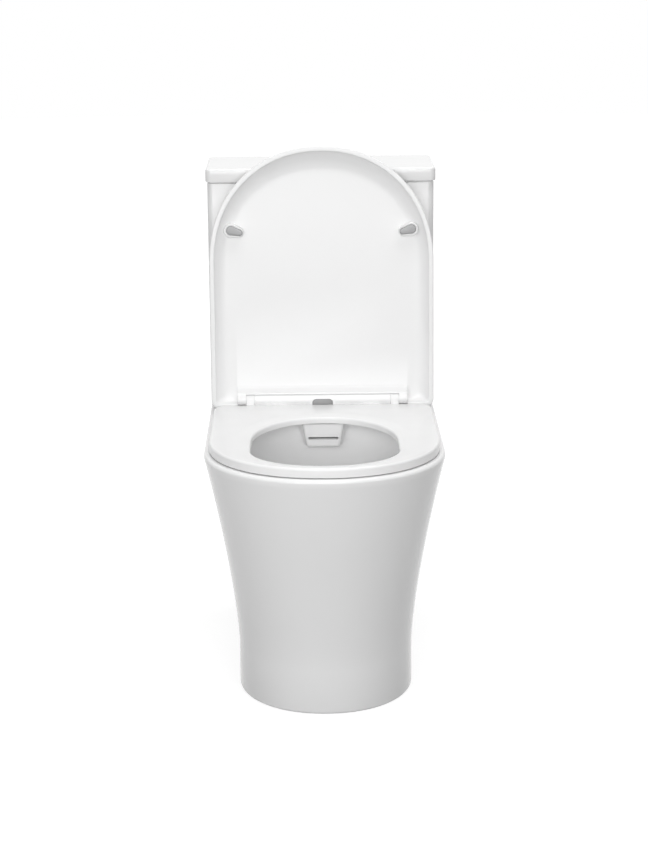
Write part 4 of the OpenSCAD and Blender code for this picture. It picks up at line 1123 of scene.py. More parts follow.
def knuckle(name, places, arc, arm):
    """A pair of hinge knuckles: an arc of the barrel, in degrees, closed by the corners of an arm."""
    steps = round((arc[1] - arc[0]) / 5)
    angles = [math.radians(lerp(arc[0], arc[1], i / steps)) for i in range(steps + 1)]
    section = [(BARREL_R * math.cos(t), BARREL_R * math.sin(t)) for t in angles] + arm
    pair = build(name, both(along_x(section, places)))
    bevel(pair, 0.5)
    return pair


def settle_at_hinge(obj, turn=Matrix.Identity(3)):
    """Turns an object drawn about the hinge axis, moves it to the hinge and keeps that in its mesh."""
    obj.data.transform(Matrix.Translation((0, HINGE_Y * MM, HINGE_Z * MM)) @ turn.to_4x4())
    obj.data.update()


# The cover is drawn closed. Its heights and depths are taken from the hinge axis.
COVER_HALF = 183.5
COVER_FRONT = -414.8
COVER_ARC = 188.6
COVER_REAR = 15
COVER_CORNER = 14
COVER_TOP = 14
COVER_LIP = -6
COVER_RECESS = 15
LIP_W = 8
LIP_EDGE = 1.4
SLOPE_SIDE = 24
SLOPE_FRONT = 38
SLOPE_REAR = 6
SLOPE_CORNER = 8
RIDGE_REAR = -8.3
HEEL_Z = COVER_LIP + 0.3
HEEL_TOP = 10


def cover_out(inset):
    """Outline of the cover, drawn in by an inset."""
    return d_ring(COVER_HALF - inset, COVER_FRONT + inset, COVER_ARC - inset, COVER_REAR - inset,
                  max(COVER_CORNER - inset, 3))


def cover_in(t):
    """Outline of the cover's hollow, whose slope is wide at the round end and narrow at the hinge."""
    return d_ring(COVER_HALF - LIP_W - SLOPE_SIDE * t, COVER_FRONT + LIP_W + SLOPE_FRONT * t,
                  COVER_ARC - LIP_W - SLOPE_FRONT * t, COVER_REAR - LIP_W - SLOPE_REAR * t,
                  COVER_CORNER - LIP_W + SLOPE_CORNER * t)


def build_cover():
    """The cover, drawn closed about the hinge axis and then turned open."""
    rings = []
    for inset, drop in ((88, 0), (66, 0.12), (44, 0.45), (28, 0.8), (16, 1.2), (9, 1.75), (5.5, 2.3),
                        (3.2, 3.1), (1.7, 4.3), (0.7, 6.0), (0.15, 8.0), (0, 9.4)):
        rings.append(at(cover_out(inset), COVER_TOP - drop))
    for c, s in quarter_turn(5):
        rings.append(at(cover_out(2 * c), COVER_LIP + 2 * (1 - s)))
    for c, s in reversed(quarter_turn(4)):
        rings.append(at(cover_out(LIP_W - LIP_EDGE * c), COVER_LIP + LIP_EDGE * (1 - s)))
    steps = 16
    for i in range(1, steps + 1):
        t = i / steps
        depth = lerp(LIP_EDGE, COVER_RECESS, 1 - (1 - t) ** 3)
        rings.append(at(cover_in(t), COVER_LIP + depth))
    rings.append(at(cover_in(1.4), COVER_LIP + COVER_RECESS))
    cover = build("seat_cover_moulding", loft(rings))
    section = [(RIDGE_REAR, HEEL_TOP), (RIDGE_REAR, HEEL_Z), (-10, HEEL_Z), (-11.3, HEEL_Z + 0.6),
               (-15.6, 4), (-16.9, 6.3), (-18.4, 7.9), (-21, 8.9), (-23, 9.2), (-23, HEEL_TOP)]
    combine(cover, [along_x(section, (-EAR_X[1], EAR_X[1]))], "UNION")
    notch = block((-EAR_X[1] - 0.3, RIDGE_REAR, COVER_LIP - 6), (EAR_X[1] + 0.3, 17, COVER_TOP + CUT))
    combine(cover, [notch], "DIFFERENCE")
    settle_at_hinge(cover, COVER_TURN)
    dress(cover, seat_plastic(), "cover_body", ["seat_cover", "cover_heels"])
    dip = math.degrees(math.asin(HEEL_Z / BARREL_R))
    ears = knuckle("cover_ear_pair", EAR_X, (-180 - dip, dip), [
        (BARREL_R, HEEL_Z), (BARREL_R, HEEL_TOP), (RIDGE_REAR, HEEL_TOP), (RIDGE_REAR, HEEL_Z)])
    settle_at_hinge(ears, COVER_TURN)
    dress(ears, seat_plastic(), "cover_body", ["cover_ears"])


CUP_PLACE = (147.5, -279, 6)
CUP_LENGTH = 14.8


def tear_drop(radius, tail_radius, length=CUP_LENGTH, steps=40):
    """Outline of two joined circles, one larger than the other."""
    lean = math.asin((radius - tail_radius) / length)
    head = np.linspace(-math.pi / 2 - lean, math.pi / 2 + lean, steps)
    tail = np.linspace(math.pi / 2 + lean, 3 * math.pi / 2 - lean, steps // 2)[1:-1]
    points = [(radius * math.cos(t), radius * math.sin(t)) for t in head]
    points += [(-length + tail_radius * math.cos(t), tail_radius * math.sin(t)) for t in tail]
    return points


def at_cups(shape):
    """A shape drawn on a buffer's own axes, placed on both sides of the open cover."""
    placed = moved(shape, CUP_PLACE, turned(-15, "Z") @ turned(180, "X"))
    return moved(both(placed), (0, HINGE_Y, HINGE_Z), COVER_TURN)


def build_cover_buffers():
    """The two tear-drop buffers inside the cover: a white cup with a soft grey pad."""
    rings = []
    for r, tail, z, shift in (
            (11.7, 8.7, -4.5, 0), (11.5, 8.5, 7.0, 0), (11.2, 8.2, 8.8, 0), (10.5, 7.5, 10.0, 0),
            (9.4, 6.6, 10.5, 0.2), (8.4, 5.8, 10.4, 0.3), (7.6, 5.2, 9.8, 0.3), (7.3, 4.9, 7.5, 0.3)):
        length = lerp(CUP_LENGTH, CUP_LENGTH - 2.2, (r - 7.3) / 4.4)
        rings.append(at(tear_drop(r, tail, length), z, dy=shift))
    cups = build("cover_buffer_cup_pair", at_cups(loft(rings)))
    dress(cups, seat_plastic(), "cover_body", ["cover_buffer_cups"])
    rings = []
    for r, tail, z in ((7.2, 4.8, 7.5), (7.2, 4.8, 10.0), (6.9, 4.5, 11.2), (6.1, 3.8, 12.3),
                       (4.9, 2.8, 13.1), (3.3, 1.6, 13.6)):
        rings.append(at(tear_drop(r, tail), z, dy=0.3))
    pads = build("cover_buffer_pad_pair", at_cups(loft(rings)))
    dress(pads, pad_rubber(), "cover_body", ["cover_buffer_pads"])


def build_seat_buffers():
    """The four soft feet under the seat ring."""
    shapes = []
    for x in (-169, 169):
        for y in (-117.8, 53):
            rings = []
            for inset, z in ((1.4, RIM_Z), (0.4, RIM_Z + 0.6), (0, RIM_Z + 1.4), (0, SEAT_Z)):
                rings.append(at(plate_ring(11 - 2 * inset, 30 - 2 * inset, 5.2 - inset), z, x, y))
            shapes.append(loft(rings))
    feet = build("seat_foot_set", joined(*shapes))
    dress(feet, pad_rubber(), "seat_body", ["seat_buffers"])


# ---------------------------------------------------------------- hinge

# Heights are taken from the hinge axis.
BARREL_HALF = 112
HOUSING_HALF = 21
HOUSING_FRONT = -8
FOOT_HALF = 17
FOOT_Z = RIM_Z - HINGE_Z
POST_POCKET_R = 11.3
POST_HOLE_R = 5.05
DAMPER_R = 6
DAMPER_START = HOUSING_HALF + 4
BUTTON_CORNER = 6.5


def button_ring(grow, y):
    """Outline of the release button: flat below and rounded above."""
    half = 16.8 + grow
    points = [(-half, -14 - grow), (half, -14 - grow)]
    corner = BUTTON_CORNER + grow
    for i in range(13):
        t = math.radians(90 * i / 12)
        points.append((half - corner + corner * math.cos(t), 1 - BUTTON_CORNER + corner * math.sin(t)))
    points += [(-x, z) for x, z in reversed(points[2:])]
    return [(x, y, z) for x, z in points]


def build_hinge():
    """The fixed barrel with its feet and its housing, the dampers and the release button."""
    barrel = rounded_rod(BARREL_R, -BARREL_HALF, BARREL_HALF)
    body = build("hinge_barrel", moved(lathe(barrel, 72), turn=ALONG_X))
    foot = block((FIXING_X - FOOT_HALF, 0.3 - BARREL_R, FOOT_Z), (FIXING_X + FOOT_HALF, 24 - BARREL_R, -6))
    housing = block((-HOUSING_HALF, HOUSING_FRONT, FOOT_Z), (HOUSING_HALF, 8, 1.7))
    apron = block((0.3 - BARREL_HALF, -6, -13), (BARREL_HALF - 0.3, 6, -5))
    combine(body, [both(foot), housing, apron], "UNION")
    combine(body, [
        loft([button_ring(0.3, HOUSING_FRONT - CUT), button_ring(0.3, 1.3)]),
        both(moved(rod(DAMPER_R + 0.05, DAMPER_START, BARREL_HALF + CUT), turn=ALONG_X)),
        both(plug(POST_POCKET_R, FOOT_Z - CUT, FOOT_Z + 2.5, FIXING_X)),
        both(plug(POST_HOLE_R, FOOT_Z, -6.3, FIXING_X)),
    ], "DIFFERENCE")
    settle_at_hinge(body)
    dress(body, hinge_plastic(), "pan_body", ["hinge_body"], angle=30)

    case = rounded_side(DAMPER_R, DAMPER_START, BARREL_HALF, 0.5, 3)
    pin = rounded_side(SPINDLE_R, BARREL_HALF, EAR_X[1] - CUT, 0.4, 3)[4:]
    profile = [(0, DAMPER_START)] + case + [(SPINDLE_R, BARREL_HALF)] + pin + [(0, EAR_X[1] - CUT)]
    shape = moved(lathe(profile, 40), turn=ALONG_X)
    for node, placed in (("seat_damper", mirrored(shape)), ("cover_damper", shape)):
        damper = build(node + "_cartridge", placed)
        settle_at_hinge(damper)
        dress(damper, valve_plastic("damper_grey_plastic", (0.35, 0.36, 0.37)), "pan_body", [node])

    front = ((0, -2), (0, -7.2), (-0.2, -7.7), (-0.8, HOUSING_FRONT))
    button = build("release_push_button", loft([button_ring(grow, y) for grow, y in front]))
    settle_at_hinge(button)
    dress(button, button_plastic(), "release_body", ["release_button"])


def build_hinge_fixings():
    """Posts, studs and expanding plugs that hold the hinge to the deck."""
    post = lathe([(0, 9), (BOLT_R, 9), (BOLT_R, 0), (11, 0), (11, 2.1), (10.6, 2.5), (5, 2.5), (5, 17),
                  (4.6, 17.4), (0, 17.4)], 48)
    posts = build("hinge_post_pair", both(moved(post, (FIXING_X, HINGE_Y, RIM_Z))))
    dress(posts, steel(), "pan_body", ["hinge_posts"])
    stud = joined(thread(BOLT_R, -48, 9, 1.25, 0.5), prism(polygon(6, 7.2), -48, -41, 0.6))
    studs = build("hinge_stud_pair", both(moved(stud, (FIXING_X, HINGE_Y, RIM_Z))))
    dress(studs, brass(), "pan_body", ["hinge_studs"])
    rib_pitch = 3.6
    profile = [(BOLT_CLEAR, -41), (7.0, -41)]
    for i in range(9):
        z = -40 + i * rib_pitch
        profile += [(7.2, z), (7.2, z + 1.6), (6.5, z + 2.1), (6.5, z + 3.1)]
    profile += [(7.2, -7.4), (6.8, -7), (BOLT_CLEAR, -7)]
    plugs = build("hinge_plug_pair", both(moved(lathe(profile, 40), (FIXING_X, HINGE_Y, RIM_Z))))
    dress(plugs, black_rubber(), "pan_body", ["hinge_plugs"])


# ---------------------------------------------------------------- under and in the cistern

# Where the rods of the two buttons stand
STEM_X = {"full": 8, "half": -12.5}
ROD_HOLE_R = 3.5
THREAD_R = 31
NUT_BORE_R = 31.05
VALVE_BORE_R = 26
FLANGE_R = 41
TOWER_TOP = LID_Z - 83


def at_drain(shape, x=0):
    """A shape moved to the axis of the drain, or to one side of it."""
    return moved(shape, (x, DRAIN_Y, 0))


def at_stems(low, high):
    """Holes for the two push rods."""
    return [plug(ROD_HOLE_R, low, high, x, DRAIN_Y, 32) for x in STEM_X.values()]


def build_cistern_fixings():
    """Rest pads, gasket, close-coupling bolts, washers and wing nuts."""
    rings = [at(plate_ring(24 - 2 * i, 110 - 2 * i, 4 - i), z, 145, DRAIN_Y)
             for i, z in ((0.6, RIM_Z), (0, RIM_Z + 0.6), (0, CISTERN_Z - 0.6), (0.6, CISTERN_Z))]
    pads = build("cistern_rest_pair", both(loft(rings)))
    dress(pads, black_rubber(), "pan_body", ["cistern_pads"])

    profile = [(49.7, 394.3), (49.7, 409.4), (49.1, 410), (40.6, 410), (40, 409.4), (40, 397.7),
               (36.6, 397.7), (36, 397.1), (36, 394.6), (36.6, 394), (49.1, 394)]
    gasket = build("tank_gasket_ring", at_drain(lathe(profile, 72)))
    dress(gasket, foam(), "pan_body", ["tank_gasket"])

    head_z = TANK_FLOOR + 3
    head = prism(polygon(6, 7.95), head_z, head_z + 5.5, 0.7)
    bolt = joined(thread(BOLT_R, 371, head_z, 1.5, 0.55), head)
    bolts = build("coupling_bolt_pair", both(at_drain(bolt, BOLT_X)))
    slot = at_drain(block((-0.8, -9, head_z + 3.6), (0.8, 9, head_z + 7)), BOLT_X)
    combine(bolts, [both(slot)], "DIFFERENCE")
    dress(bolts, brass(), "pan_body", ["cistern_bolts"])

    washer = lathe([(BOLT_CLEAR, TANK_FLOOR), (14, TANK_FLOOR), (13.9, TANK_FLOOR + 1.2),
                    (12.6, TANK_FLOOR + 2.2), (9, head_z), (BOLT_CLEAR, head_z)], 48)
    washers = build("bolt_washer_pair", both(at_drain(washer, BOLT_X)))
    dress(washers, black_rubber(), "pan_body", ["bolt_washers"])

    top = DECK_UNDER
    hub = lathe([(BOLT_CLEAR, top - 9), (6.4, top - 9), (8, top - 1.8), (8, top - 0.4), (7.6, top),
                 (BOLT_CLEAR, top)], 40)
    outline = [(5.5, top - 4.6), (8.0, top - 3.4), (12.6, top - 3.0), (13.9, top - 4.6), (13.7, top - 7.2),
               (12.0, top - 8.8), (8.5, top - 8.9), (5.5, top - 8.4)]
    ear = along_x(outline, (-1.5, -1.2, 1.2, 1.5))
    back = moved(ear, turn=turned(180, "Z"))
    nuts = build("wing_nut_pair", both(at_drain(joined(hub, ear, back), BOLT_X)))
    bevel(nuts, 0.4, 2, 50)
    dress(nuts, brass(), "pan_body", ["wing_nuts"])


def build_flush_valve():
    """Drain seat, washer and nut, the cage with its head, and the lifting canister with its seal."""
    base_z = TANK_FLOOR + 2
    tail_z = CISTERN_Z - 24
    top = base_z + 5
    core = 30
    shell = lathe([(VALVE_BORE_R, tail_z), (core, tail_z), (core, base_z), (FLANGE_R, base_z),
                   (FLANGE_R, top - 0.6), (FLANGE_R - 0.6, top), (core, top), (core, top + 1.4),
                   (core - 0.8, top + 2), (VALVE_BORE_R + 1.2, top + 2), (VALVE_BORE_R, top + 1)], 72)
    base = build("drain_seat", at_drain(thread(THREAD_R, tail_z, base_z, 3, 0.9, 72)))
    combine(base, [plug(core - 0.1, tail_z - 6, top + 1, 0, DRAIN_Y, 72)], "DIFFERENCE")
    combine(base, [at_drain(shell)], "UNION")
    dress(base, valve_plastic(), "pan_body", ["flush_valve_base"])
    washer = lathe(rounded_ring(FLANGE_R, NUT_BORE_R, TANK_FLOOR, base_z), 72)
    washer = build("drain_washer", at_drain(washer))
    dress(washer, black_rubber(), "pan_body", ["flush_valve_washer"])
    nut = prism(polygon(8, 38.8, 22.5), CISTERN_Z - 12, CISTERN_Z - 0.05, 0.8)
    nut = build("drain_back_nut", at_drain(nut))
    combine(nut, [plug(NUT_BORE_R, CISTERN_Z - 20, CISTERN_Z + 5, 0, DRAIN_Y, 72)], "DIFFERENCE")
    dress(nut, valve_plastic(), "pan_body", ["flush_valve_nut"])

    head_z = TOWER_TOP - 38
    roof = head_z + 18.3
    waist = 39.6
    head = lathe([(0, roof), (14.5, roof), (14.5, head_z), (39.5, head_z), (FLANGE_R, head_z + 1.5),
                  (FLANGE_R, head_z + 6), (waist, head_z + 7), (waist, TOWER_TOP - 7),
                  (FLANGE_R, TOWER_TOP - 6), (FLANGE_R, TOWER_TOP - 1), (40, TOWER_TOP), (0, TOWER_TOP)], 72)
    tower = build("flush_cage", at_drain(lathe(rounded_ring(FLANGE_R, 32, top, top + 5, 0.6), 72)))
    leg = block((36, -4.5, top), (40.7, 4.5, head_z + 5))
    legs = [at_drain(moved(leg, turn=turned(angle, "Z"))) for angle in (45, 135, 225, 315)]
    combine(tower, legs + [at_drain(head)], "UNION")
    combine(tower, at_stems(TOWER_TOP - 12, TOWER_TOP + CUT), "DIFFERENCE")
    dress(tower, valve_plastic("tower_blue_plastic", (0.48, 0.57, 0.73)), "pan_body", ["flush_tower"])

    low = top + 2.3 + 3
    canister_top = head_z - 9
    profile = [(11, low), (31, low), (32, low + 1), (32, low + 4.4), (31, low + 6), (24, low + 18),
               (17, low + 34), (13, low + 42), (13, canister_top - 14), (13.6, canister_top - 13.4),
               (13.6, canister_top - 11), (13, canister_top - 10.4), (13, canister_top - 0.6),
               (12.4, canister_top), (11, canister_top)]
    canister = build("overflow_canister", at_drain(lathe(profile, 72)))
    dress(canister, valve_plastic("canister_red_plastic", (0.65, 0.075, 0.045)), "canister_body",
          ["flush_canister"])
    seal = build("canister_seal", at_drain(lathe(rounded_ring(32, 18, low - 3, low, 0.9, 3), 72)))
    dress(seal, silicone(), "canister_body", ["flush_seal"])


PUSH_TOP = LID_TOP + 2.5
ROD_TOP = PUSH_TOP - 5
PUSH_R = 21.1
CUP_FLOOR = 767
SPRING_FOOT = CUP_FLOOR + 3
STEM_END = 776.6


def press_plate(low_x, high_x):
    """A segment of a disc with an eased edge."""
    outline = []
    for x, y in polygon(96, PUSH_R):
        x = min(max(x, low_x), high_x)
        limit = math.sqrt(max(PUSH_R * PUSH_R - x * x, 0))
        point = (x, max(-limit, min(limit, y)))
        if not outline or math.dist(point, outline[-1]) > 0.35:
            outline.append(point)
    return prism(outline, ROD_TOP, PUSH_TOP, 1.1, 4)


def build_flush_buttons():
    """Chrome ring and buttons in the lid, their nut, springs and push rods."""
    profile = [(0, SPRING_FOOT), (21.4, SPRING_FOOT), (21.4, 806.8), (22.0, 807.7), (23.0, 808),
               (27.4, 807.6), (30.0, 806.6), (31.0, 805.4), (31.0, LID_TOP), (23.5, LID_TOP),
               (23.5, CUP_FLOOR), (0, CUP_FLOOR)]
    bezel = build("button_ring_chrome", at_drain(lathe(profile, 96)))
    combine(bezel, at_stems(CUP_FLOOR - CUT, SPRING_FOOT + CUT), "DIFFERENCE")
    dress(bezel, chrome(), "lid_body", ["button_bezel"])
    nut = prism(polygon(8, 29.8, 22.5), LID_UNDER - 7, LID_UNDER - 0.05, 0.7)
    nut = build("button_back_nut", at_drain(nut))
    combine(nut, [plug(23.55, LID_UNDER - 13, LID_UNDER + 7, 0, DRAIN_Y, 72)], "DIFFERENCE")
    dress(nut, valve_plastic(), "lid_body", ["button_nut"])
    stem = lathe([(0, ROD_TOP), (2.5, ROD_TOP), (2.5, STEM_END), (4.2, STEM_END), (4.5, STEM_END + 0.4),
                  (4.5, ROD_TOP + 0.6), (0, ROD_TOP + 0.6)], 32)
    push_rod = lathe(rounded_rod(2.45, TOWER_TOP - 4, ROD_TOP - 0.02, 0.5), 24)
    for kind, low_x, high_x in (("full", -4.7, PUSH_R), ("half", -PUSH_R, -5.3)):
        body = kind + "_button_body"
        cap = build(kind + "_flush_plate", at_drain(press_plate(low_x, high_x)))
        combine(cap, [at_drain(stem, STEM_X[kind])], "UNION")
        dress(cap, chrome(), body, [kind + "_flush_button"])
        presser = build(kind + "_push_rod_white", at_drain(push_rod, STEM_X[kind]))
        dress(presser, valve_plastic(), body, [kind + "_push_rod"])
        spring = coil(6.2, 0.7, SPRING_FOOT, ROD_TOP, 6)
        spring = build(kind + "_button_spring_wire", at_drain(spring, STEM_X[kind]))
        dress(spring, steel(), "lid_body", [kind + "_button_spring"])
        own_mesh(spring)


def at_inlet(shape):
    """A shape moved to the axis of the inlet."""
    return moved(shape, (*INLET, 0))


def build_fill_valve():
    """Bottom-entry fill valve: threaded shank, column, float and head, with its washer and nut."""
    flange = TANK_FLOOR + 2
    top = LID_Z - 93
    cap_z = top - 48
    float_z = cap_z - 54
    bore = 6
    collar = float_z - 0.3
    body = build("fill_valve_column", at_inlet(thread(SHANK_R, 372, 400, 1.814, 1.0, 40)))
    column = lathe([(bore, 399), (9.6, 399), (9.6, 402), (SHANK_R, 402), (SHANK_R, flange), (16, flange),
                    (16, flange + 3.2), (15.2, flange + 4), (10.5, flange + 4), (9, flange + 6),
                    (9, collar - 5.7), (13, collar - 4), (13, collar - 0.6), (12.4, collar),
                    (9, collar), (9, cap_z), (bore, cap_z)], 56)
    combine(body, [plug(bore, 370, 405, *INLET, 40)], "DIFFERENCE")
    combine(body, [at_inlet(column)], "UNION")
    dress(body, valve_plastic(), "pan_body", ["fill_valve_body"])

    profile = [(0, cap_z), (15, cap_z), (16, cap_z + 1), (16, top - 30), (14.6, top - 29),
               (14.6, top - 24), (16, top - 23), (16, top - 3), (14, top - 0.8), (9, top), (0, top)]
    head = build("fill_valve_cap", at_inlet(lathe(profile, 56)))
    lever = block((0, -4.5, top - 9), (26, 4.5, top - 0.4))
    combine(head, [at_inlet(lever)], "UNION")
    groove = block((15.2, -0.7, top - 20), (18, 0.7, top - 6))
    grooves = [at_inlet(moved(groove, turn=turned(angle, "Z"))) for angle in range(15, 375, 30)]
    combine(head, [joined(*grooves)], "DIFFERENCE")
    dress(head, valve_plastic("fill_blue_plastic", (0.04, 0.12, 0.36)), "pan_body", ["fill_valve_head"])

    float_top = float_z + 42
    profile = [(9.3, float_z), (25, float_z), (26, float_z + 1), (26, float_top - 2), (25, float_top),
               (23.6, float_top), (23.6, float_top - 3), (11.5, float_top - 3), (11.5, float_top),
               (9.3, float_top)]
    cup = build("fill_valve_float_cup", at_inlet(lathe(profile, 72)))
    dress(cup, valve_plastic("float_pale_plastic", (0.74, 0.76, 0.78)), "float_body", ["fill_valve_float"])
    washer = build("inlet_washer_ring", at_inlet(lathe(rounded_ring(16, 10.5, TANK_FLOOR, flange), 56)))
    dress(washer, black_rubber(), "pan_body", ["inlet_washer"])
    nut = build("inlet_back_nut", at_inlet(prism(polygon(6, 17.9), CISTERN_Z - 8, CISTERN_Z - 0.05, 0.8)))
    combine(nut, [plug(SHANK_R + 0.05, CISTERN_Z - 15, CISTERN_Z + 5, *INLET, 48)], "DIFFERENCE")
    dress(nut, valve_plastic(), "pan_body", ["inlet_nut"])


# ---------------------------------------------------------------- floor fixing

BRACKET_W = 34
BRACKET_H = 42
BRACKET_T = 8
BRACKET_HALF = 25
FLOOR_HOLE_R = 4.5


def at_brackets(shape):
    """A shape moved to the brackets' place along the skirt, on both sides."""
    return both(moved(shape, (0, BRACKET_Y, 0)))


def build_floor_fixing():
    """Brackets inside the skirt, their side screws and the white caps outside."""
    x1 = BASE_HALF - CHINA_T
    x0 = x1 - BRACKET_W
    wall_x = x1 - BRACKET_T
    rib_x = x1 - BRACKET_T / 2
    rib_z = BRACKET_T / 2
    rib_top = BRACKET_H - BRACKET_T
    rib = [(x0, rib_z), (x0, BRACKET_T), (wall_x, rib_top), (rib_x, rib_top), (rib_x, rib_z)]
    base = block((x0, -BRACKET_HALF, 0), (x1, BRACKET_HALF, BRACKET_T))
    parts = [block((wall_x, -BRACKET_HALF, 0), (x1, BRACKET_HALF, BRACKET_H)),
             along_y(rib, (-BRACKET_HALF, 4 - BRACKET_HALF)),
             along_y(rib, (BRACKET_HALF - 4, BRACKET_HALF))]
    brackets = build("floor_bracket_pair", at_brackets(base))
    combine(brackets, [at_brackets(part) for part in parts], "UNION")
    floor_hole = rod(FLOOR_HOLE_R, -CUT, BRACKET_T + CUT)
    side_hole = moved(rod(2.5, -12, 12, 32), (x1 - 4, 0, SCREW_Z), ALONG_X)
    combine(brackets, [at_brackets(moved(floor_hole, (x0 + 13, 0, 0))), at_brackets(side_hole)], "DIFFERENCE")
    bevel(brackets, 0.7, 2, 40)
    dress(brackets, valve_plastic(), "pan_body", ["floor_brackets"])

    head = lathe([(0, BASE_HALF - 0.5), (5.6, BASE_HALF), (6, BASE_HALF + 0.3), (5.4, BASE_HALF + 1.4),
                  (3.5, BASE_HALF + 1.9), (0, BASE_HALF + 2)], 40)
    screw = joined(thread(2.5, wall_x, BASE_HALF, 1.6, 0.6, 24), head)
    screws = build("skirt_screw_pair", at_brackets(moved(screw, (0, 0, SCREW_Z), ALONG_X)))
    dress(screws, steel(), "pan_body", ["skirt_screws"])

    cap = lathe([(0, BASE_HALF + 2.8), (6.3, BASE_HALF + 2.8), (6.3, BASE_HALF), (8.9, BASE_HALF),
                 (9, BASE_HALF + 0.4), (8.9, BASE_HALF + 2.2), (8.0, BASE_HALF + 3.3), (5.5, BASE_HALF + 3.9),
                 (0, BASE_HALF + 4)], 48)
    caps = build("skirt_screw_cap_pair", at_brackets(moved(cap, (0, 0, SCREW_Z), ALONG_X)))
    dress(caps, hinge_plastic(), "pan_body", ["screw_caps"])


# ---------------------------------------------------------------- stage

CAMERA_DISTANCE = 3518.1
CAMERA_ELEVATION = 14.06
CAMERA_AZIMUTH = -0.61
CAMERA_ROLL = -0.46
CAMERA_TARGET = (0.8, 0, 398.1)
CAMERA_LENS = 90.84
CAMERA_FILM = 36

# Name, place and aim in metres, width, height and watts
LAMPS = (
    ("overhead_soft_box", (0.2, -0.05, 2.8), (0, -0.1, 0.4), 2.2, 1.6, 34),
    ("front_soft_box", (-0.2, -2.4, 1.05), (0, 0, 0.5), 2.2, 1.0, 33),
    ("side_soft_box", (-1.9, -1.7, 1.3), (0, -0.2, 0.4), 1.4, 1.0, 3),
)
SKY_STRENGTH = 0.36
FLOOR_R = 9000
FLOOR_TONE = 0.32
# The floor's own glow rises from the first to the second over these metres from the middle.
FLOOR_GLOW = (0.8, 1.0)
GLOW_REACH = (0.6, 2.0)


def place_camera():
    """The camera at the viewing angle of the photograph."""
    elevation = math.radians(CAMERA_ELEVATION)
    azimuth = math.radians(CAMERA_AZIMUTH)
    roll = math.radians(CAMERA_ROLL)
    back = Vector((math.sin(azimuth) * math.cos(elevation), -math.cos(azimuth) * math.cos(elevation),
                   math.sin(elevation)))
    right = (-back).cross(Vector((0, 0, 1))).normalized()
    up = right.cross(-back)
    turned_right = math.cos(roll) * right + math.sin(roll) * up
    turned_up = -math.sin(roll) * right + math.cos(roll) * up
    data = bpy.data.cameras.new("photo_camera")
    data.lens = CAMERA_LENS
    data.sensor_width = CAMERA_FILM
    data.clip_end = 50
    camera = bpy.data.objects.new("photo_camera", data)
    bpy.context.scene.collection.objects.link(camera)
    place = (Vector(CAMERA_TARGET) + back * CAMERA_DISTANCE) * MM
    camera.matrix_world = Matrix.Translation(place) @ Matrix(
        (turned_right, turned_up, back)).transposed().to_4x4()
    bpy.context.scene.camera = camera


def place_lamp(name, place, aim, width, height, watts):
    """A soft box that looks at a point."""
    data = bpy.data.lights.new(name, "AREA")
    data.shape = "RECTANGLE"
    data.size = width
    data.size_y = height
    data.energy = watts
    lamp = bpy.data.objects.new(name, data)
    lamp.location = place
    lamp.rotation_euler = (Vector(aim) - Vector(place)).to_track_quat("-Z", "Y").to_euler()
    bpy.context.scene.collection.objects.link(lamp)


def seen_directly(tree):
    """1 for rays of the camera, of a gloss and of glass."""
    path = tree.nodes.new("ShaderNodeLightPath")
    first = math_node(tree, "ADD")
    total = math_node(tree, "ADD")
    total.use_clamp = True
    tree.links.new(path.outputs["Is Camera Ray"], first.inputs[0])
    tree.links.new(path.outputs["Is Glossy Ray"], first.inputs[1])
    tree.links.new(first.outputs[0], total.inputs[0])
    tree.links.new(path.outputs["Is Transmission Ray"], total.inputs[1])
    return total


def light_world():
    """A soft, even sky that looks white where it is seen."""
    world = bpy.data.worlds.new("studio_air")
    bpy.context.scene.world = world
    world.use_nodes = True
    tree = world.node_tree
    background = tree.nodes["Background"]
    background.inputs["Color"].default_value = (1, 1, 1, 1)
    level = tree.nodes.new("ShaderNodeMapRange")
    level.inputs["To Min"].default_value = SKY_STRENGTH
    level.inputs["To Max"].default_value = 1.0
    tree.links.new(seen_directly(tree).outputs[0], level.inputs["Value"])
    tree.links.new(level.outputs["Result"], background.inputs["Strength"])


def lay_floor():
    """A pale floor that looks white, and keeps the object's shadow near it."""
    floor = build("studio_floor", loft([at(polygon(ROUND, FLOOR_R), z) for z in (-40, -0.2)]))
    material = bpy.data.materials.new("pale_floor")
    material.use_nodes = True
    tree = material.node_tree
    shader = tree.nodes["Principled BSDF"]
    shader.inputs["Base Color"].default_value = (FLOOR_TONE, FLOOR_TONE, FLOOR_TONE, 1)
    shader.inputs["Roughness"].default_value = 0.9
    shader.inputs["Specular IOR Level"].default_value = 0.1
    shader.inputs["Emission Color"].default_value = (1, 1, 1, 1)
    place = tree.nodes.new("ShaderNodeTexCoord")
    distance = tree.nodes.new("ShaderNodeVectorMath")
    distance.operation = "LENGTH"
    tree.links.new(place.outputs["Object"], distance.inputs[0])
    level = tree.nodes.new("ShaderNodeMapRange")
    level.interpolation_type = "SMOOTHSTEP"
    for name, value in zip(("From Min", "From Max", "To Min", "To Max"), GLOW_REACH + FLOOR_GLOW):
        level.inputs[name].default_value = value
    tree.links.new(distance.outputs["Value"], level.inputs["Value"])
    lift = math_node(tree, "MULTIPLY")
    tree.links.new(seen_directly(tree).outputs[0], lift.inputs[0])
    tree.links.new(level.outputs["Result"], lift.inputs[1])
    tree.links.new(lift.outputs[0], shader.inputs["Emission Strength"])
    floor.data.materials.append(material)


def build_stage():
    """Camera, floor, soft lamps and sky."""
    place_camera()
    lay_floor()
    light_world()
    for lamp in LAMPS:
        place_lamp(*lamp)
    bpy.context.scene.view_settings.view_transform = "Standard"


# ---------------------------------------------------------------- operators


class TOILET_OT_pan(bpy.types.Operator):
    """Build the pan casting"""

    bl_idname = "toilet.pan"
    bl_label = "Pan"
    bl_options = {"REGISTER", "UNDO"}

    def execute(self, context):
        build_pan()
        return {"FINISHED"}


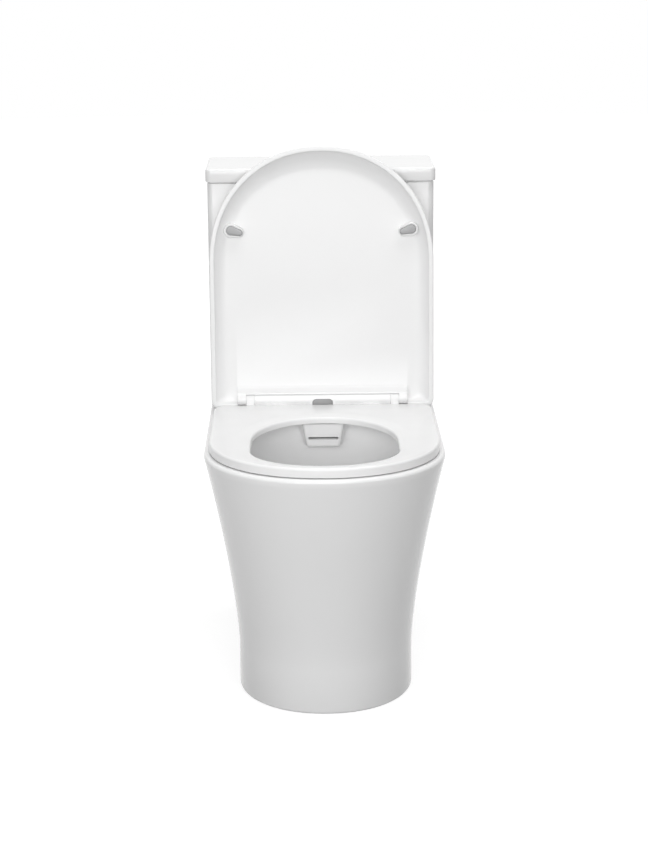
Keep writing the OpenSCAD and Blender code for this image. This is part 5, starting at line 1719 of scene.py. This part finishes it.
class TOILET_OT_cistern(bpy.types.Operator):
    """Build the cistern tank"""

    bl_idname = "toilet.cistern"
    bl_label = "Cistern"
    bl_options = {"REGISTER", "UNDO"}

    def execute(self, context):
        build_cistern()
        return {"FINISHED"}


class TOILET_OT_lid(bpy.types.Operator):
    """Build the cistern lid"""

    bl_idname = "toilet.lid"
    bl_label = "Cistern Lid"
    bl_options = {"REGISTER", "UNDO"}

    def execute(self, context):
        build_lid()
        return {"FINISHED"}


class TOILET_OT_seat(bpy.types.Operator):
    """Build the seat ring and its hinge lugs"""

    bl_idname = "toilet.seat"
    bl_label = "Seat Ring"
    bl_options = {"REGISTER", "UNDO"}

    def execute(self, context):
        build_seat()
        return {"FINISHED"}


class TOILET_OT_seat_buffers(bpy.types.Operator):
    """Build the four buffers under the seat ring"""

    bl_idname = "toilet.seat_buffers"
    bl_label = "Seat Buffers"
    bl_options = {"REGISTER", "UNDO"}

    def execute(self, context):
        build_seat_buffers()
        return {"FINISHED"}


class TOILET_OT_cover(bpy.types.Operator):
    """Build the cover and its hinge ears"""

    bl_idname = "toilet.cover"
    bl_label = "Cover"
    bl_options = {"REGISTER", "UNDO"}

    def execute(self, context):
        build_cover()
        return {"FINISHED"}


class TOILET_OT_cover_buffers(bpy.types.Operator):
    """Build the tear-drop buffers inside the cover"""

    bl_idname = "toilet.cover_buffers"
    bl_label = "Cover Buffers"
    bl_options = {"REGISTER", "UNDO"}

    def execute(self, context):
        build_cover_buffers()
        return {"FINISHED"}


class TOILET_OT_hinge(bpy.types.Operator):
    """Build the hinge barrel, its dampers and the release button"""

    bl_idname = "toilet.hinge"
    bl_label = "Hinge"
    bl_options = {"REGISTER", "UNDO"}

    def execute(self, context):
        build_hinge()
        return {"FINISHED"}


class TOILET_OT_hinge_fixings(bpy.types.Operator):
    """Build the posts, studs and plugs under the hinge"""

    bl_idname = "toilet.hinge_fixings"
    bl_label = "Hinge Fixings"
    bl_options = {"REGISTER", "UNDO"}

    def execute(self, context):
        build_hinge_fixings()
        return {"FINISHED"}


class TOILET_OT_cistern_fixings(bpy.types.Operator):
    """Build the pads, the gasket and the close-coupling bolts"""

    bl_idname = "toilet.cistern_fixings"
    bl_label = "Cistern Fixings"
    bl_options = {"REGISTER", "UNDO"}

    def execute(self, context):
        build_cistern_fixings()
        return {"FINISHED"}


class TOILET_OT_flush_valve(bpy.types.Operator):
    """Build the flush valve"""

    bl_idname = "toilet.flush_valve"
    bl_label = "Flush Valve"
    bl_options = {"REGISTER", "UNDO"}

    def execute(self, context):
        build_flush_valve()
        return {"FINISHED"}


class TOILET_OT_flush_buttons(bpy.types.Operator):
    """Build the chrome buttons in the lid"""

    bl_idname = "toilet.flush_buttons"
    bl_label = "Flush Buttons"
    bl_options = {"REGISTER", "UNDO"}

    def execute(self, context):
        build_flush_buttons()
        return {"FINISHED"}


class TOILET_OT_fill_valve(bpy.types.Operator):
    """Build the fill valve"""

    bl_idname = "toilet.fill_valve"
    bl_label = "Fill Valve"
    bl_options = {"REGISTER", "UNDO"}

    def execute(self, context):
        build_fill_valve()
        return {"FINISHED"}


class TOILET_OT_floor_fixing(bpy.types.Operator):
    """Build the floor brackets, their screws and caps"""

    bl_idname = "toilet.floor_fixing"
    bl_label = "Floor Fixing"
    bl_options = {"REGISTER", "UNDO"}

    def execute(self, context):
        build_floor_fixing()
        return {"FINISHED"}


class TOILET_OT_stage(bpy.types.Operator):
    """Set the camera, the floor and the light"""

    bl_idname = "toilet.stage"
    bl_label = "Studio"
    bl_options = {"REGISTER", "UNDO"}

    def execute(self, context):
        build_stage()
        return {"FINISHED"}


OPERATORS = (
    TOILET_OT_stage, TOILET_OT_pan, TOILET_OT_cistern, TOILET_OT_lid, TOILET_OT_seat,
    TOILET_OT_seat_buffers, TOILET_OT_cover, TOILET_OT_cover_buffers, TOILET_OT_hinge,
    TOILET_OT_hinge_fixings, TOILET_OT_cistern_fixings, TOILET_OT_flush_valve, TOILET_OT_flush_buttons,
    TOILET_OT_fill_valve, TOILET_OT_floor_fixing,
)


class TOILET_PT_panel(bpy.types.Panel):
    """Sizes, colours and pieces of the toilet"""

    bl_idname = "TOILET_PT_panel"
    bl_label = "Rimless Toilet"
    bl_space_type = "VIEW_3D"
    bl_region_type = "UI"
    bl_category = "Toilet"

    def draw(self, context):
        for settings in (context.scene.toilet_sizes, context.scene.toilet_finish):
            box = self.layout.box()
            for name in settings.__annotations__:
                box.prop(settings, name)
        for operator in OPERATORS:
            self.layout.operator(operator.bl_idname)


CLASSES = (ToiletSizes, ToiletFinish) + OPERATORS + (TOILET_PT_panel,)


def register():
    """Makes the settings, the operators and the panel known."""
    for cls in CLASSES:
        bpy.utils.register_class(cls)
    bpy.types.Scene.toilet_sizes = bpy.props.PointerProperty(type=ToiletSizes)
    bpy.types.Scene.toilet_finish = bpy.props.PointerProperty(type=ToiletFinish)


def unregister():
    """Takes them away again."""
    del bpy.types.Scene.toilet_finish
    del bpy.types.Scene.toilet_sizes
    for cls in reversed(CLASSES):
        bpy.utils.unregister_class(cls)


def main():
    """Builds the stage and every piece."""
    register()
    for operator in OPERATORS:
        getattr(bpy.ops.toilet, operator.bl_idname.split(".")[1])()


if __name__ == "__main__":
    main()
